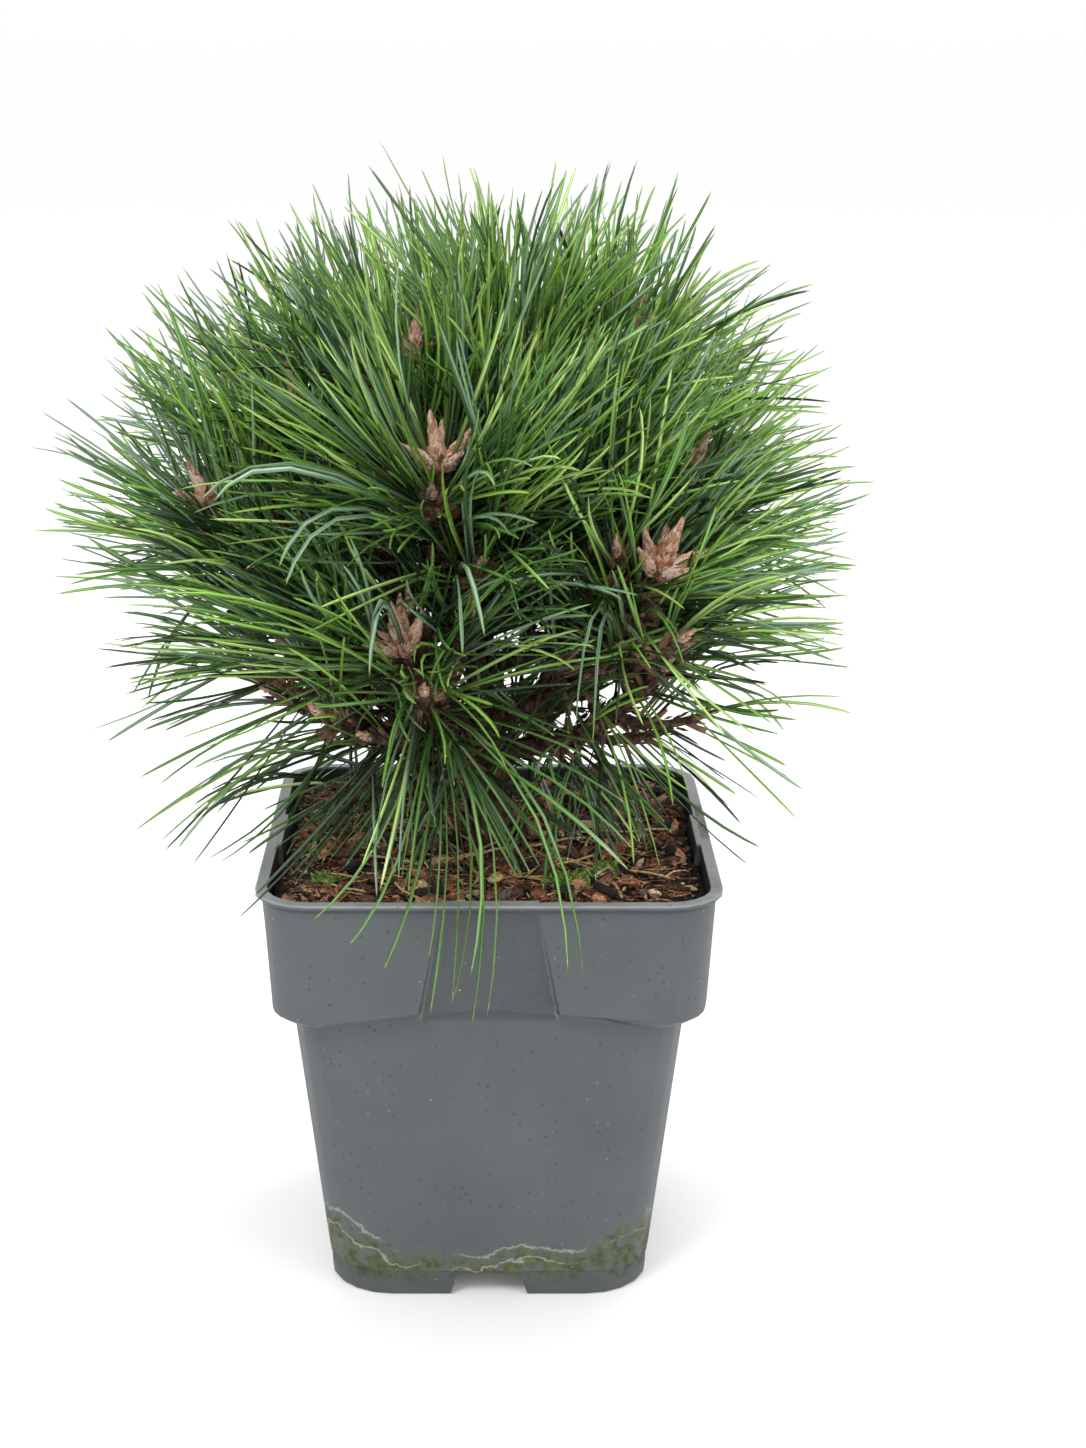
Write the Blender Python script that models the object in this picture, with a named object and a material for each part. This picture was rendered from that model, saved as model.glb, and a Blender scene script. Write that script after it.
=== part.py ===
"""A young dwarf pine in its square nursery pot.

Metres, +Z up. The pot stands on Z = 0 and faces -Y. Everything is worked out about the pot's
centre line, and one empty then sets the whole plant over the origin, which lies under the middle
of the crown's outline.
"""

import math
import random

import bmesh
import bpy
from mathutils import Matrix, Vector
from mathutils.geometry import interpolate_bezier

MM = 0.001
GAP = 0.35 * MM  # clearance between neighbouring solids

# Where the pot's centre line stands, seen from the middle of the crown's outline
POT_PLACE = Vector((7.0, 5.5, 0.0)) * MM

# Pot: a square container with round corners, a deep collar and a pressed label panel in each side
POT_HEIGHT = 138.0 * MM
RIM_HALF = 70.0 * MM
RIM_CORNER = 17.0 * MM
LIP_REACH = 2.0 * MM
LIP_THICK = 1.6 * MM
LIP_EDGE = 0.4 * MM
WALL = 1.6 * MM
COLLAR_TOP_HALF = RIM_HALF - LIP_REACH
COLLAR_FOOT_HALF = 66.2 * MM
COLLAR_FOOT_Z = 97.0 * MM
COLLAR_ROUND = 1.8 * MM
COLLAR_CORNER_FOOT = 16.5 * MM
BODY_TOP_HALF = 60.2 * MM
BODY_FOOT_HALF = 51.2 * MM
BODY_CORNER_TOP = 17.5 * MM
BODY_CORNER_FOOT = 20.0 * MM
LEDGE_Z = 8.2 * MM
LEDGE_STEP = 0.5 * MM
FOOT_HALF = 50.4 * MM
FOOT_EDGE = 0.7 * MM
FOOT_WIDTH = 6.0 * MM
FLOOR_Z = 7.7 * MM
FLOOR_THICK = 1.8 * MM
CORNER_STEPS = 5
PANEL_TOP_Z = 134.5 * MM
PANEL_TOP_HALF = 14.9 * MM
PANEL_FOOT_HALF = 21.5 * MM
PANEL_TOP_DEPTH = 1.2 * MM
PANEL_FOOT_DEPTH = 4.0 * MM
PANEL_BEVEL = 0.33  # run of a panel's side face for each unit of its depth
SKIRT_LIFT = 3.4 * MM  # how far the collar's lower edge climbs from the corners to the panel
SKIRT_ARCH = 1.6 * MM  # and from the panel's sides to its middle
NOTCH_TOP_HALF = 9.8 * MM
NOTCH_FOOT_HALF = 12.4 * MM
DRAIN_RADIUS = 4.0 * MM
DRAIN_PLACE = 27.0 * MM
DRAIN_SIDES = 16

# Soil: a plug of bark and peat that fills the pot to just under the lip
SOIL_Z = 131.5 * MM
SOIL_BUMP = 1.6 * MM
SOIL_SEED = 11
SOIL_RINGS = (0.86, 0.6, 0.3, 0.16)
TRUNK_PAD = 0.30  # share of the soil's half width that stays level under the trunk

# Trunk: from a flared foot, leaning a little left and back, to its tip in the middle of the crown
TRUNK_HEIGHTS = (0.0, 0.045, 0.12, 0.32, 0.55, 0.78, 1.0)
TRUNK_RADII = (9.6, 7.6, 6.6, 6.0, 5.2, 4.2, 3.2)
TRUNK_TOP = Vector((-13.0, 12.0, 232.0)) * MM
TRUNK_BOW = Vector((5.0, -2.0, 0.0)) * MM
TRUNK_SIDES = 10

# Shoots: name, compass angle, reach of the bud from the pot's centre line, height of the bud,
# height at which the bough leaves the trunk, size of the bud cluster and length of the needles
# (1 is a full one)
SHOOTS = (
    ("front_high", 247.5, 38.0, 262.0, 197.0, 1.0, 1.05),
    ("front_left", 243.0, 56.0, 211.0, 168.0, 1.0, 1.28),
    ("front_right", 320.0, 65.0, 232.0, 176.0, 1.1, 1.0),
    ("left", 188.0, 86.0, 247.0, 174.0, 0.8, 1.0),
    ("left_high", 161.0, 62.0, 270.0, 207.0, 0.9, 0.98),
    ("right", 8.0, 64.0, 253.0, 190.0, 0.8, 0.95),
    ("right_high", 36.0, 57.0, 292.0, 213.0, 0.9, 1.05),
    ("middle_high", 62.0, 20.0, 295.0, 222.0, 0.8, 1.05),
    ("inner_right", 335.0, 28.0, 254.0, 203.5, 0.7, 1.0),
    ("right_low", 343.0, 58.0, 203.0, 163.0, 0.7, 0.9),
    ("left_low", 210.0, 64.0, 208.0, 160.0, 0.6, 0.95),
    ("back", 98.0, 60.0, 256.0, 196.0, 0.8, 1.0),
    ("back_left", 136.0, 74.0, 222.0, 166.0, 0.8, 1.0),
    ("back_right", 52.0, 74.0, 222.0, 170.0, 0.8, 1.0),
)
TOP_SHOOT = ("top", 140.0, 30.0, 286.0, 232.0, 0.9, 1.05)
BOUGH_RADIUS = 3.6 * MM
TWIG_RADIUS = 2.6 * MM
TIP_RADIUS = 2.2 * MM
LIMB_SIDES = 6
COURSE_STEPS = 24
BOUGH_STRIDE = 2  # steps of a shoot's course between two rings of its bough, and of its twig
TWIG_STRIDE = 3
BARE_SHARE = 0.40  # share of a shoot, from the trunk, that is bare bough
TWIG_CLEARANCE = 0.49 * MM
# How far out and up a shoot's course is drawn at its fork and at its bud, as shares of its run
LEAVE_OUT = 0.55
LEAVE_UP = 0.12
ARRIVE_OUT = 0.18
ARRIVE_UP = 0.5

# Needles: they stand round each shoot in a spiral, near the bud along it and lower down across it
NEEDLES_PER_SHOOT = 34
NEEDLE_SEED = 100
NEEDLES_APART = 2.3 * MM
CLEAR_FROM = 0.4  # share of a needle's lower half from which it stays clear of the others
NEEDLE_TRIES = 1100
HIGHEST_NEEDLE = 0.95  # where on the twig the first needle and the last one stand
LOWEST_NEEDLE = 0.03
NEEDLE_AT_BUD = 55.0 * MM
NEEDLE_AT_FOOT = 82.0 * MM
NEEDLE_SPREAD = 6.0 * MM
NEEDLE_SHARES = (1.0, 0.8, 0.62, 0.48)  # lengths tried where the full one has no room
NEEDLE_HALF = 2.2 * MM
NEEDLE_ROOT_HALF = 0.7 * MM
NEEDLE_SINK = 0.35  # share of the twig's radius between its axis and a needle's root
ANGLE_AT_BUD = 22.0
ANGLE_AT_FOOT = 106.0
ANGLE_JITTER = 8.0
ANGLE_EASE = 0.75
AROUND_JITTER = 0.3
SAG = 0.18
SAG_LEAST = 0.4  # how much a needle sags, as shares of SAG, and its middle as a share of its tip
SAG_MOST = 1.2
SAG_AT_MIDDLE = 0.22
TESTED_LOW = (0.2, 0.45, 0.7, 1.0)  # where on its lower and upper half a needle's room is tested
TESTED_HIGH = (0.25, 0.5, 0.75, 1.0)
GOLDEN_ANGLE = math.radians(137.508)
SPACE_MARGIN = 4.9 * MM  # how much nearer its own twig than any other a needle stays
LIMB_MARGIN = 3.0 * MM
POT_MARGIN = 2.9 * MM

# Buds: a cluster of pointed winter buds on each tip
BUD_LENGTH = 16.0 * MM
BUD_RADIUS = 3.0 * MM
BUD_LEAN = 38.0  # degrees between a side bud and the middle one
SIDE_BUDS = 3
# A bud's rings: place along it and width, as shares of its length and of its radius
BUD_RINGS = ((-0.12, 0.0), (0.12, 0.8), (0.45, 1.0), (1.0, 0.0))
BUD_SINK = 1.5 * MM
SIDE_BUD_SINK = 1.0 * MM
SIDE_BUD_OUT = 0.6 * MM
SIDE_BUD_SIZE = 0.85
BUD_TURN = 1.3  # how much further round the side buds stand from one shoot to the next
BUD_SIDES = 6


def clear_scene():
    for old in list(bpy.data.objects):
        bpy.data.objects.remove(old, do_unlink=True)


def new_collection(name):
    made = bpy.data.collections.new(name)
    bpy.context.scene.collection.children.link(made)
    return made


def material(name, colour, roughness):
    made = bpy.data.materials.new(name)
    made.use_nodes = True
    shader = made.node_tree.nodes["Principled BSDF"]
    shader.inputs["Base Color"].default_value = (*colour, 1.0)
    shader.inputs["Roughness"].default_value = roughness
    shader.inputs["Metallic"].default_value = 0.0
    return made


def mesh_object(name, bm, collection, finish=None, smooth=True):
    """A bmesh made an object, its faces pointing out, shaded smooth apart from its sharp edges."""
    bmesh.ops.recalc_face_normals(bm, faces=bm.faces)
    mesh = bpy.data.meshes.new(name)
    bm.to_mesh(mesh)
    bm.free()
    if smooth:
        mesh.shade_smooth()
        mesh.set_sharp_from_angle(angle=math.radians(35.0))
    if finish:
        mesh.materials.append(finish)
    made = bpy.data.objects.new(name, mesh)
    collection.objects.link(made)
    return made


def loft(rings, bm=None):
    """A closed skin over rings of points. A ring of one point closes that end to a tip."""
    bm = bm or bmesh.new()
    rows = [[bm.verts.new(point) for point in ring] for ring in rings]
    for low, high in zip(rows, rows[1:]):
        count = max(len(low), len(high))
        for i in range(count):
            j = (i + 1) % count
            if len(high) == 1:
                bm.faces.new((low[i], low[j], high[0]))
            elif len(low) == 1:
                bm.faces.new((low[0], high[j], high[i]))
            else:
                bm.faces.new((low[i], low[j], high[j], high[i]))
    for row in (rows[0], rows[-1]):
        if len(row) > 2:
            bm.faces.new(row)
    return bm


def blend(low, high, share):
    return low + (high - low) * share


# Pot


def panel_half(z):
    """Half the label panel's width at a height, on its outer edge."""
    share = (z - COLLAR_FOOT_Z) / (PANEL_TOP_Z - COLLAR_FOOT_Z)
    return blend(PANEL_FOOT_HALF, PANEL_TOP_HALF, max(0.0, min(1.0, share)))


def square_ring(z, half, corner, recess=0.0, lift=0.0, spare=0.0):
    """A square with round corners at height z, pressed in by recess at the middle of each side.
    lift is how much of the collar's climb and arch the ring takes, and spare widens its panel."""
    side = []
    wide = panel_half(z) + spare
    narrow = wide - recess * PANEL_BEVEL
    climb = z + SKIRT_LIFT * lift
    arch = climb + SKIRT_ARCH * lift
    for x, y, height in (
        (-wide, -half, climb),
        (-narrow, recess - half, climb),
        (0.0, recess - half, arch),
        (narrow, recess - half, climb),
        (wide, -half, climb),
    ):
        side.append(Vector((x, y, height)))
    centre = Vector((half - corner, corner - half, z))
    for step in range(CORNER_STEPS + 1):
        angle = math.radians(-90.0 + 90.0 * step / CORNER_STEPS)
        side.append(centre + Vector((math.cos(angle), math.sin(angle), 0.0)) * corner)
    turns = [Matrix.Rotation(math.radians(90.0 * i), 3, "Z") for i in range(4)]
    return [turn @ point for turn in turns for point in side]


def pot_rings():
    """The pot's skin, from the middle of its underside, up the outside and down the inside."""
    collar_corner = RIM_CORNER - LIP_REACH
    lip_under = POT_HEIGHT - LIP_THICK
    outside = [
        square_ring(FLOOR_Z, FOOT_HALF - FOOT_WIDTH, BODY_CORNER_FOOT - FOOT_WIDTH),
        square_ring(0.0, FOOT_HALF - FOOT_WIDTH + FOOT_EDGE, BODY_CORNER_FOOT - FOOT_WIDTH),
        square_ring(0.0, FOOT_HALF - FOOT_EDGE, BODY_CORNER_FOOT - FOOT_EDGE),
        square_ring(FOOT_EDGE, FOOT_HALF, BODY_CORNER_FOOT),
        square_ring(LEDGE_Z, BODY_FOOT_HALF - LEDGE_STEP, BODY_CORNER_FOOT),
        square_ring(LEDGE_Z + LEDGE_STEP, BODY_FOOT_HALF, BODY_CORNER_FOOT),
        square_ring(COLLAR_FOOT_Z - WALL, BODY_TOP_HALF, BODY_CORNER_TOP, lift=1.0),
        square_ring(COLLAR_FOOT_Z, BODY_TOP_HALF + WALL / 2, BODY_CORNER_TOP, lift=1.0),
        square_ring(
            COLLAR_FOOT_Z,
            COLLAR_FOOT_HALF - COLLAR_ROUND,
            COLLAR_CORNER_FOOT,
            PANEL_FOOT_DEPTH - COLLAR_ROUND,
            1.0,
        ),
        square_ring(
            COLLAR_FOOT_Z + COLLAR_ROUND,
            COLLAR_FOOT_HALF,
            COLLAR_CORNER_FOOT,
            PANEL_FOOT_DEPTH,
            1.0,
        ),
        square_ring(PANEL_TOP_Z, COLLAR_TOP_HALF, collar_corner, PANEL_TOP_DEPTH),
        square_ring(PANEL_TOP_Z + LIP_EDGE, COLLAR_TOP_HALF, collar_corner),
        square_ring(lip_under, COLLAR_TOP_HALF, collar_corner),
        square_ring(lip_under, RIM_HALF - LIP_EDGE, RIM_CORNER - LIP_EDGE),
        square_ring(lip_under + LIP_EDGE, RIM_HALF, RIM_CORNER),
        square_ring(POT_HEIGHT - LIP_EDGE, RIM_HALF, RIM_CORNER),
        square_ring(POT_HEIGHT, RIM_HALF - LIP_EDGE, RIM_CORNER - LIP_EDGE),
    ]
    return outside + inside_rings(0.0)


def inside_rings(clearance):
    """The pot's hollow from its mouth down to its floor, made smaller all round by clearance."""
    corner = RIM_CORNER - LIP_REACH - WALL
    foot_corner = BODY_CORNER_FOOT - WALL - clearance
    shrink = WALL + clearance
    mouth_half = COLLAR_TOP_HALF - shrink
    collar_half = COLLAR_FOOT_HALF - shrink
    body_half = BODY_TOP_HALF - shrink
    shelf_z = COLLAR_FOOT_Z + 2.0 * WALL + clearance
    body_z = shelf_z - WALL / 2.0
    floor_z = FLOOR_Z + FLOOR_THICK + clearance
    return [
        square_ring(POT_HEIGHT, mouth_half, corner, PANEL_TOP_DEPTH, spare=clearance),
        square_ring(shelf_z, collar_half, corner, PANEL_FOOT_DEPTH, 1.0, clearance),
        square_ring(body_z, body_half, corner, 0.0, 1.0, clearance),
        square_ring(floor_z, BODY_FOOT_HALF - shrink, foot_corner),
    ]


def cut(target, cutter):
    """One Boolean cut, applied, with its cutter removed."""
    modifier = target.modifiers.new("cut", "BOOLEAN")
    modifier.operation = "DIFFERENCE"
    modifier.object = cutter
    apply_modifiers(target)
    bpy.data.objects.remove(cutter, do_unlink=True)


def apply_modifiers(target):
    """The object's evaluated mesh takes the place of its mesh and modifiers."""
    graph = bpy.context.evaluated_depsgraph_get()
    done = bpy.data.meshes.new_from_object(target.evaluated_get(graph), depsgraph=graph)
    old = target.data
    target.modifiers.clear()
    target.data = done
    bpy.data.meshes.remove(old)


def keep_largest_skin(target):
    """Drops loose scraps, and the inner skin of any hollow that a union sealed, which fills it."""
    bm = bmesh.new()
    bm.from_mesh(target.data)
    left = set(bm.faces)
    skins = []
    while left:
        skin = {left.pop()}
        front = list(skin)
        while front:
            links = {link for face in front for link in face.edges}
            near = {side for link in links for side in link.link_faces} - skin
            skin |= near
            front = list(near)
        left -= skin
        skins.append(skin)
    skins.sort(key=len)
    bmesh.ops.delete(bm, geom=[face for skin in skins[:-1] for face in skin], context="FACES")
    bm.to_mesh(target.data)
    bm.free()


def notch_cutter(turn, cutters):
    """A wedge across the foot ring, wide at the ground."""
    run = FOOT_HALF + FOOT_WIDTH
    inner = FOOT_HALF - 2.0 * FOOT_WIDTH
    below = -FOOT_EDGE

    def outline(y):
        return [
            Vector((-NOTCH_FOOT_HALF, y, below)),
            Vector((NOTCH_FOOT_HALF, y, below)),
            Vector((NOTCH_TOP_HALF, y, FLOOR_Z)),
            Vector((-NOTCH_TOP_HALF, y, FLOOR_Z)),
        ]

    made = mesh_object("notch_cutter", loft([outline(-run), outline(-inner)]), cutters)
    made.rotation_euler.z = turn
    return made


def drain_cutter(x, y, cutters):
    bm = bmesh.new()
    bmesh.ops.create_cone(
        bm,
        cap_ends=True,
        segments=DRAIN_SIDES,
        radius1=DRAIN_RADIUS,
        radius2=DRAIN_RADIUS,
        depth=6.0 * FLOOR_THICK,
    )
    made = mesh_object("drain_cutter", bm, cutters)
    made.location = (x, y, FLOOR_Z)
    return made


def make_pot(plant, cutters, finish):
    pot = mesh_object("pot", loft(pot_rings()), plant, finish)
    for side in range(4):
        cut(pot, notch_cutter(math.radians(90.0 * side), cutters))
    for x in (-DRAIN_PLACE, DRAIN_PLACE):
        for y in (-DRAIN_PLACE, DRAIN_PLACE):
            cut(pot, drain_cutter(x, y, cutters))
    return pot


# Soil


def make_soil(plant, finish):
    """The pot's hollow, filled to the soil line, with an uneven top that is level at the trunk."""
    luck = random.Random(SOIL_SEED)
    mouth, shelf, body, floor = inside_rings(GAP)
    share = (SOIL_Z - shelf[0].z) / (POT_HEIGHT - shelf[0].z)
    rim = [low.lerp(high, share) for low, high in zip(shelf, mouth)]
    rings = [floor, body, shelf, rim]
    for share in SOIL_RINGS:
        bump = 0.0 if share <= TRUNK_PAD else SOIL_BUMP
        row = []
        for point in rim:
            lifted = SOIL_Z + luck.uniform(-1.0, 1.0) * bump
            row.append(Vector((point.x * share, point.y * share, lifted)))
        rings.append(row)
    return mesh_object("soil", loft(rings), plant, finish)


# Trunk and boughs


def trunk_point(share):
    """A point on the trunk's axis, share 0 at the soil and 1 at its tip."""
    foot = Vector((0.0, 0.0, SOIL_Z + GAP))
    bow = TRUNK_BOW * math.sin(math.pi * share)
    return foot.lerp(TRUNK_TOP, share) + bow


def trunk_radius(share):
    for low, high, a, b in zip(TRUNK_HEIGHTS, TRUNK_HEIGHTS[1:], TRUNK_RADII, TRUNK_RADII[1:]):
        if share <= high:
            return blend(a, b, (share - low) / (high - low)) * MM
    return TRUNK_RADII[-1] * MM


def trunk_axis(share):
    """The trunk's direction at a share of its height."""
    step = 0.01
    return (trunk_point(share + step) - trunk_point(share - step)).normalized()


def trunk_rings(extra):
    """The trunk's rings, extra wider all round, as for a clearance cutter. The foot is level."""
    rings = []
    for share in TRUNK_HEIGHTS:
        axis = trunk_axis(share) if share else Vector((0.0, 0.0, 1.0))
        radius = trunk_radius(share) + extra
        rings.append(ring_across(trunk_point(share), axis, radius, TRUNK_SIDES))
    return rings


def frame_across(axis):
    """Two unit vectors square to an axis and to each other."""
    helper = Vector((0.0, 0.0, 1.0)) if abs(axis.z) < 0.9 else Vector((1.0, 0.0, 0.0))
    first = axis.cross(helper).normalized()
    return first, axis.cross(first).normalized()


def ring_across(centre, axis, radius, sides, side=None):
    """A ring of points square to an axis, starting at side where one is given."""
    first, second = (side, axis.cross(side).normalized()) if side else frame_across(axis)
    ring = []
    for i in range(sides):
        angle = 2.0 * math.pi * i / sides
        ring.append(centre + (first * math.cos(angle) + second * math.sin(angle)) * radius)
    return ring


def limb_rings(points, first_radius, last_radius):
    """Rings along a run of points that lie in one upright plane, their radius changing evenly."""
    rings = []
    run = points[-1] - points[0]
    side = run.cross(Vector((0.0, 0.0, 1.0))).normalized()
    for i, point in enumerate(points):
        ahead = points[min(i + 1, len(points) - 1)]
        behind = points[max(i - 1, 0)]
        radius = blend(first_radius, last_radius, i / (len(points) - 1))
        axis = (ahead - behind).normalized()
        rings.append(ring_across(point, axis, radius, LIMB_SIDES, side))
    return rings


class Shoot:
    """One shoot: its bough's course from the trunk, and its twig's up to the bud."""

    def __init__(self, index, row, leader=False):
        name, compass, reach, height, fork_height, bud_size, needle_size = row
        self.index = index
        self.name = name
        self.bud_size = bud_size
        self.needle_size = needle_size
        self.leader = leader
        outward = Vector((math.cos(math.radians(compass)), math.sin(math.radians(compass)), 0.0))
        self.bud = outward * reach * MM + Vector((0.0, 0.0, height * MM))
        share = (fork_height * MM - SOIL_Z) / (TRUNK_TOP.z - SOIL_Z)
        fork = trunk_point(min(1.0, share))
        run = self.bud - fork
        level = Vector((run.x, run.y, 0.0))
        rise = Vector((0.0, 0.0, 1.0))
        leave = fork + level * LEAVE_OUT + rise * run.z * LEAVE_UP
        arrive = self.bud - (level * ARRIVE_OUT + rise * run.z * ARRIVE_UP)
        if leader:
            leave = fork + trunk_axis(1.0) * run.length / 2.0
        course = interpolate_bezier(fork, leave, arrive, self.bud, COURSE_STEPS + 1)
        split = 0 if leader else round(BARE_SHARE * COURSE_STEPS)
        self.bough_points = course[: split + 1 : BOUGH_STRIDE]
        self.twig_points = course[split:]
        start = (self.twig_points[1] - self.twig_points[0]).normalized()
        self.twig_points[0] = self.twig_points[0] + start * TWIG_CLEARANCE

    def at(self, share):
        """(point, direction) on the twig, share 0 at its foot and 1 at the bud."""
        place = share * (len(self.twig_points) - 1)
        i = min(int(place), len(self.twig_points) - 2)
        low, high = self.twig_points[i], self.twig_points[i + 1]
        return low.lerp(high, place - i), (high - low).normalized()

    def distance(self, point):
        """How far a point lies from the twig's axis."""
        return min(segment_distance(point, a, b) for a, b in self.pairs())

    def rough(self):
        """The twig's points at each of its rings, down to the last."""
        last = self.twig_points[-1]
        points = self.twig_points[::TWIG_STRIDE]
        return points if points[-1] == last else points + [last]

    def pairs(self):
        points = self.rough()
        return zip(points, points[1:])


def segment_distance(point, a, b):
    along = b - a
    if along.length_squared < 1e-12:
        return (point - a).length
    share = max(0.0, min(1.0, (point - a).dot(along) / along.length_squared))
    return (point - (a + along * share)).length


def all_shoots():
    made = [Shoot(i, row) for i, row in enumerate(SHOOTS)]
    made.append(Shoot(len(made), TOP_SHOOT, leader=True))
    return made


def make_trunk(plant, finish):
    return mesh_object("trunk", loft(trunk_rings(0.0)), plant, finish)


def make_bough(shoot, plant, cutters, finish):
    """A tapering limb that starts inside the trunk and is cut clear of it."""
    rings = limb_rings(shoot.bough_points, BOUGH_RADIUS, TWIG_RADIUS)
    made = mesh_object("bough_" + shoot.name, loft(rings), plant, finish)
    cut(made, mesh_object("trunk_cutter", loft(trunk_rings(GAP)), cutters))
    return made


# Needles and buds


def needle_courses(shoot, number, luck):
    """(root, middle, tip) of one needle, and of shorter ones that could stand in its place.
    The number sets its place in the spiral."""
    down = (number % NEEDLES_PER_SHOOT) / NEEDLES_PER_SHOOT
    foot, axis = shoot.at(blend(HIGHEST_NEEDLE, LOWEST_NEEDLE, down))
    first, second = frame_across(axis)
    around = number * GOLDEN_ANGLE + luck.uniform(-AROUND_JITTER, AROUND_JITTER)
    out = first * math.cos(around) + second * math.sin(around)
    angle = blend(ANGLE_AT_BUD, ANGLE_AT_FOOT, down**ANGLE_EASE)
    angle = math.radians(angle + luck.uniform(-ANGLE_JITTER, ANGLE_JITTER))
    course = axis * math.cos(angle) + out * math.sin(angle)
    length = blend(NEEDLE_AT_BUD, NEEDLE_AT_FOOT, down) + luck.uniform(-1.0, 1.0) * NEEDLE_SPREAD
    length *= shoot.needle_size
    level = math.hypot(course.x, course.y)
    drop = SAG * level * length * luck.uniform(SAG_LEAST, SAG_MOST)
    sag = Vector((0.0, 0.0, -drop))
    root = foot + out * TIP_RADIUS * NEEDLE_SINK
    made = []
    for share in NEEDLE_SHARES:
        middle = root + course * length * share / 2.0 + sag * SAG_AT_MIDDLE * share**2
        made.append((root, middle, root + course * length * share + sag * share**2))
    return made


def samples(root, middle, tip):
    """Points along a needle, clear of its root."""
    near = [root.lerp(middle, share) for share in TESTED_LOW]
    return near + [middle.lerp(tip, share) for share in TESTED_HIGH]


def in_pot(point):
    """Whether a point is in the pot, in its soil or too near them."""
    reach = RIM_HALF + POT_MARGIN
    return point.z < POT_HEIGHT + POT_MARGIN and max(abs(point.x), abs(point.y)) < reach


def keeps_space(shoot, shoots, limbs, points):
    """Whether these points are nearer this shoot's twig than any other, and clear of the wood."""
    for point in points:
        if in_pot(point) or point.z < SOIL_Z:
            return False
        own = shoot.distance(point)
        for other in shoots:
            if other is not shoot and other.distance(point) < own + SPACE_MARGIN:
                return False
        for a, b, radius in limbs:
            if segment_distance(point, a, b) < radius + LIMB_MARGIN:
                return False
    return True


def keeps_apart(course, kept):
    """Whether a needle stays clear of those already grown on its twig, from a little way out."""
    start, middle, tip = course[0].lerp(course[1], CLEAR_FROM), course[1], course[2]
    for root, belly, point in kept:
        begin = root.lerp(belly, CLEAR_FROM)
        for a, b in ((start, middle), (middle, tip)):
            for c, d in ((begin, belly), (belly, point)):
                if segments_apart(a, b, c, d) < NEEDLES_APART:
                    return False
    return True


def segments_apart(a, b, c, d):
    """The least distance between two straight runs, near enough."""
    across, along = b - a, d - c
    least = min(segment_distance(end, c, d) for end in (a, b))
    least = min(least, min(segment_distance(end, a, b) for end in (c, d)))
    normal = across.cross(along)
    if normal.length > 1e-9:
        gap = c - a
        u = gap.cross(along).dot(normal) / normal.length_squared
        v = gap.cross(across).dot(normal) / normal.length_squared
        if 0.0 < u < 1.0 and 0.0 < v < 1.0:
            least = min(least, abs(gap.dot(normal)) / normal.length)
    return least


def limb_segments(shoots):
    """The trunk's and the boughs' axes as (from, to, radius)."""
    found = []
    for low, high in zip(TRUNK_HEIGHTS, TRUNK_HEIGHTS[1:]):
        found.append((trunk_point(low), trunk_point(high), trunk_radius(low)))
    for shoot in shoots:
        if not shoot.leader:
            for a, b in zip(shoot.bough_points, shoot.bough_points[1:]):
                found.append((a, b, BOUGH_RADIUS))
    return found


def needle_object(root, middle, tip, holder):
    """A three-sided needle, thickest at its middle and pointed at its tip."""
    foot = ring_across(root, (middle - root).normalized(), NEEDLE_ROOT_HALF, 3)
    belly = ring_across(middle, (tip - root).normalized(), NEEDLE_HALF, 3)
    return mesh_object("needle", loft([foot, belly, [tip]]), holder, smooth=False)


def bud_object(foot, axis, length, radius, holder):
    """One pointed bud, round at its foot."""
    rings = []
    for share, width in BUD_RINGS:
        centre = foot + axis * length * share
        rings.append(ring_across(centre, axis, radius * width, BUD_SIDES) if width else [centre])
    return mesh_object("bud", loft(rings), holder, smooth=False)


def add_buds(shoot, holder):
    """The bud cluster on a twig's tip: one in the middle, and others leaning out of it."""
    tip, axis = shoot.at(1.0)
    first, second = frame_across(axis)
    length, radius = BUD_LENGTH * shoot.bud_size, BUD_RADIUS * shoot.bud_size
    bud_object(tip - axis * BUD_SINK, axis, length, radius, holder)
    for i in range(SIDE_BUDS):
        around = 2.0 * math.pi * i / SIDE_BUDS + BUD_TURN * shoot.index
        out = first * math.cos(around) + second * math.sin(around)
        lean = math.radians(BUD_LEAN)
        course = axis * math.cos(lean) + out * math.sin(lean)
        foot = tip - axis * SIDE_BUD_SINK + out * SIDE_BUD_OUT
        bud_object(foot, course, length * SIDE_BUD_SIZE, radius * SIDE_BUD_SIZE, holder)


def grown_needles(shoot, shoots, limbs):
    """The courses of the needles that keep to the shoot's own space, in the order they grow."""
    luck = random.Random(NEEDLE_SEED + shoot.index)
    kept = []
    for number in range(NEEDLE_TRIES):
        for course in needle_courses(shoot, number, luck):
            points = samples(*course)
            if keeps_apart(course, kept) and keeps_space(shoot, shoots, limbs, points):
                kept.append(course)
                break
        if len(kept) == NEEDLES_PER_SHOOT:
            break
    return kept


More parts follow.
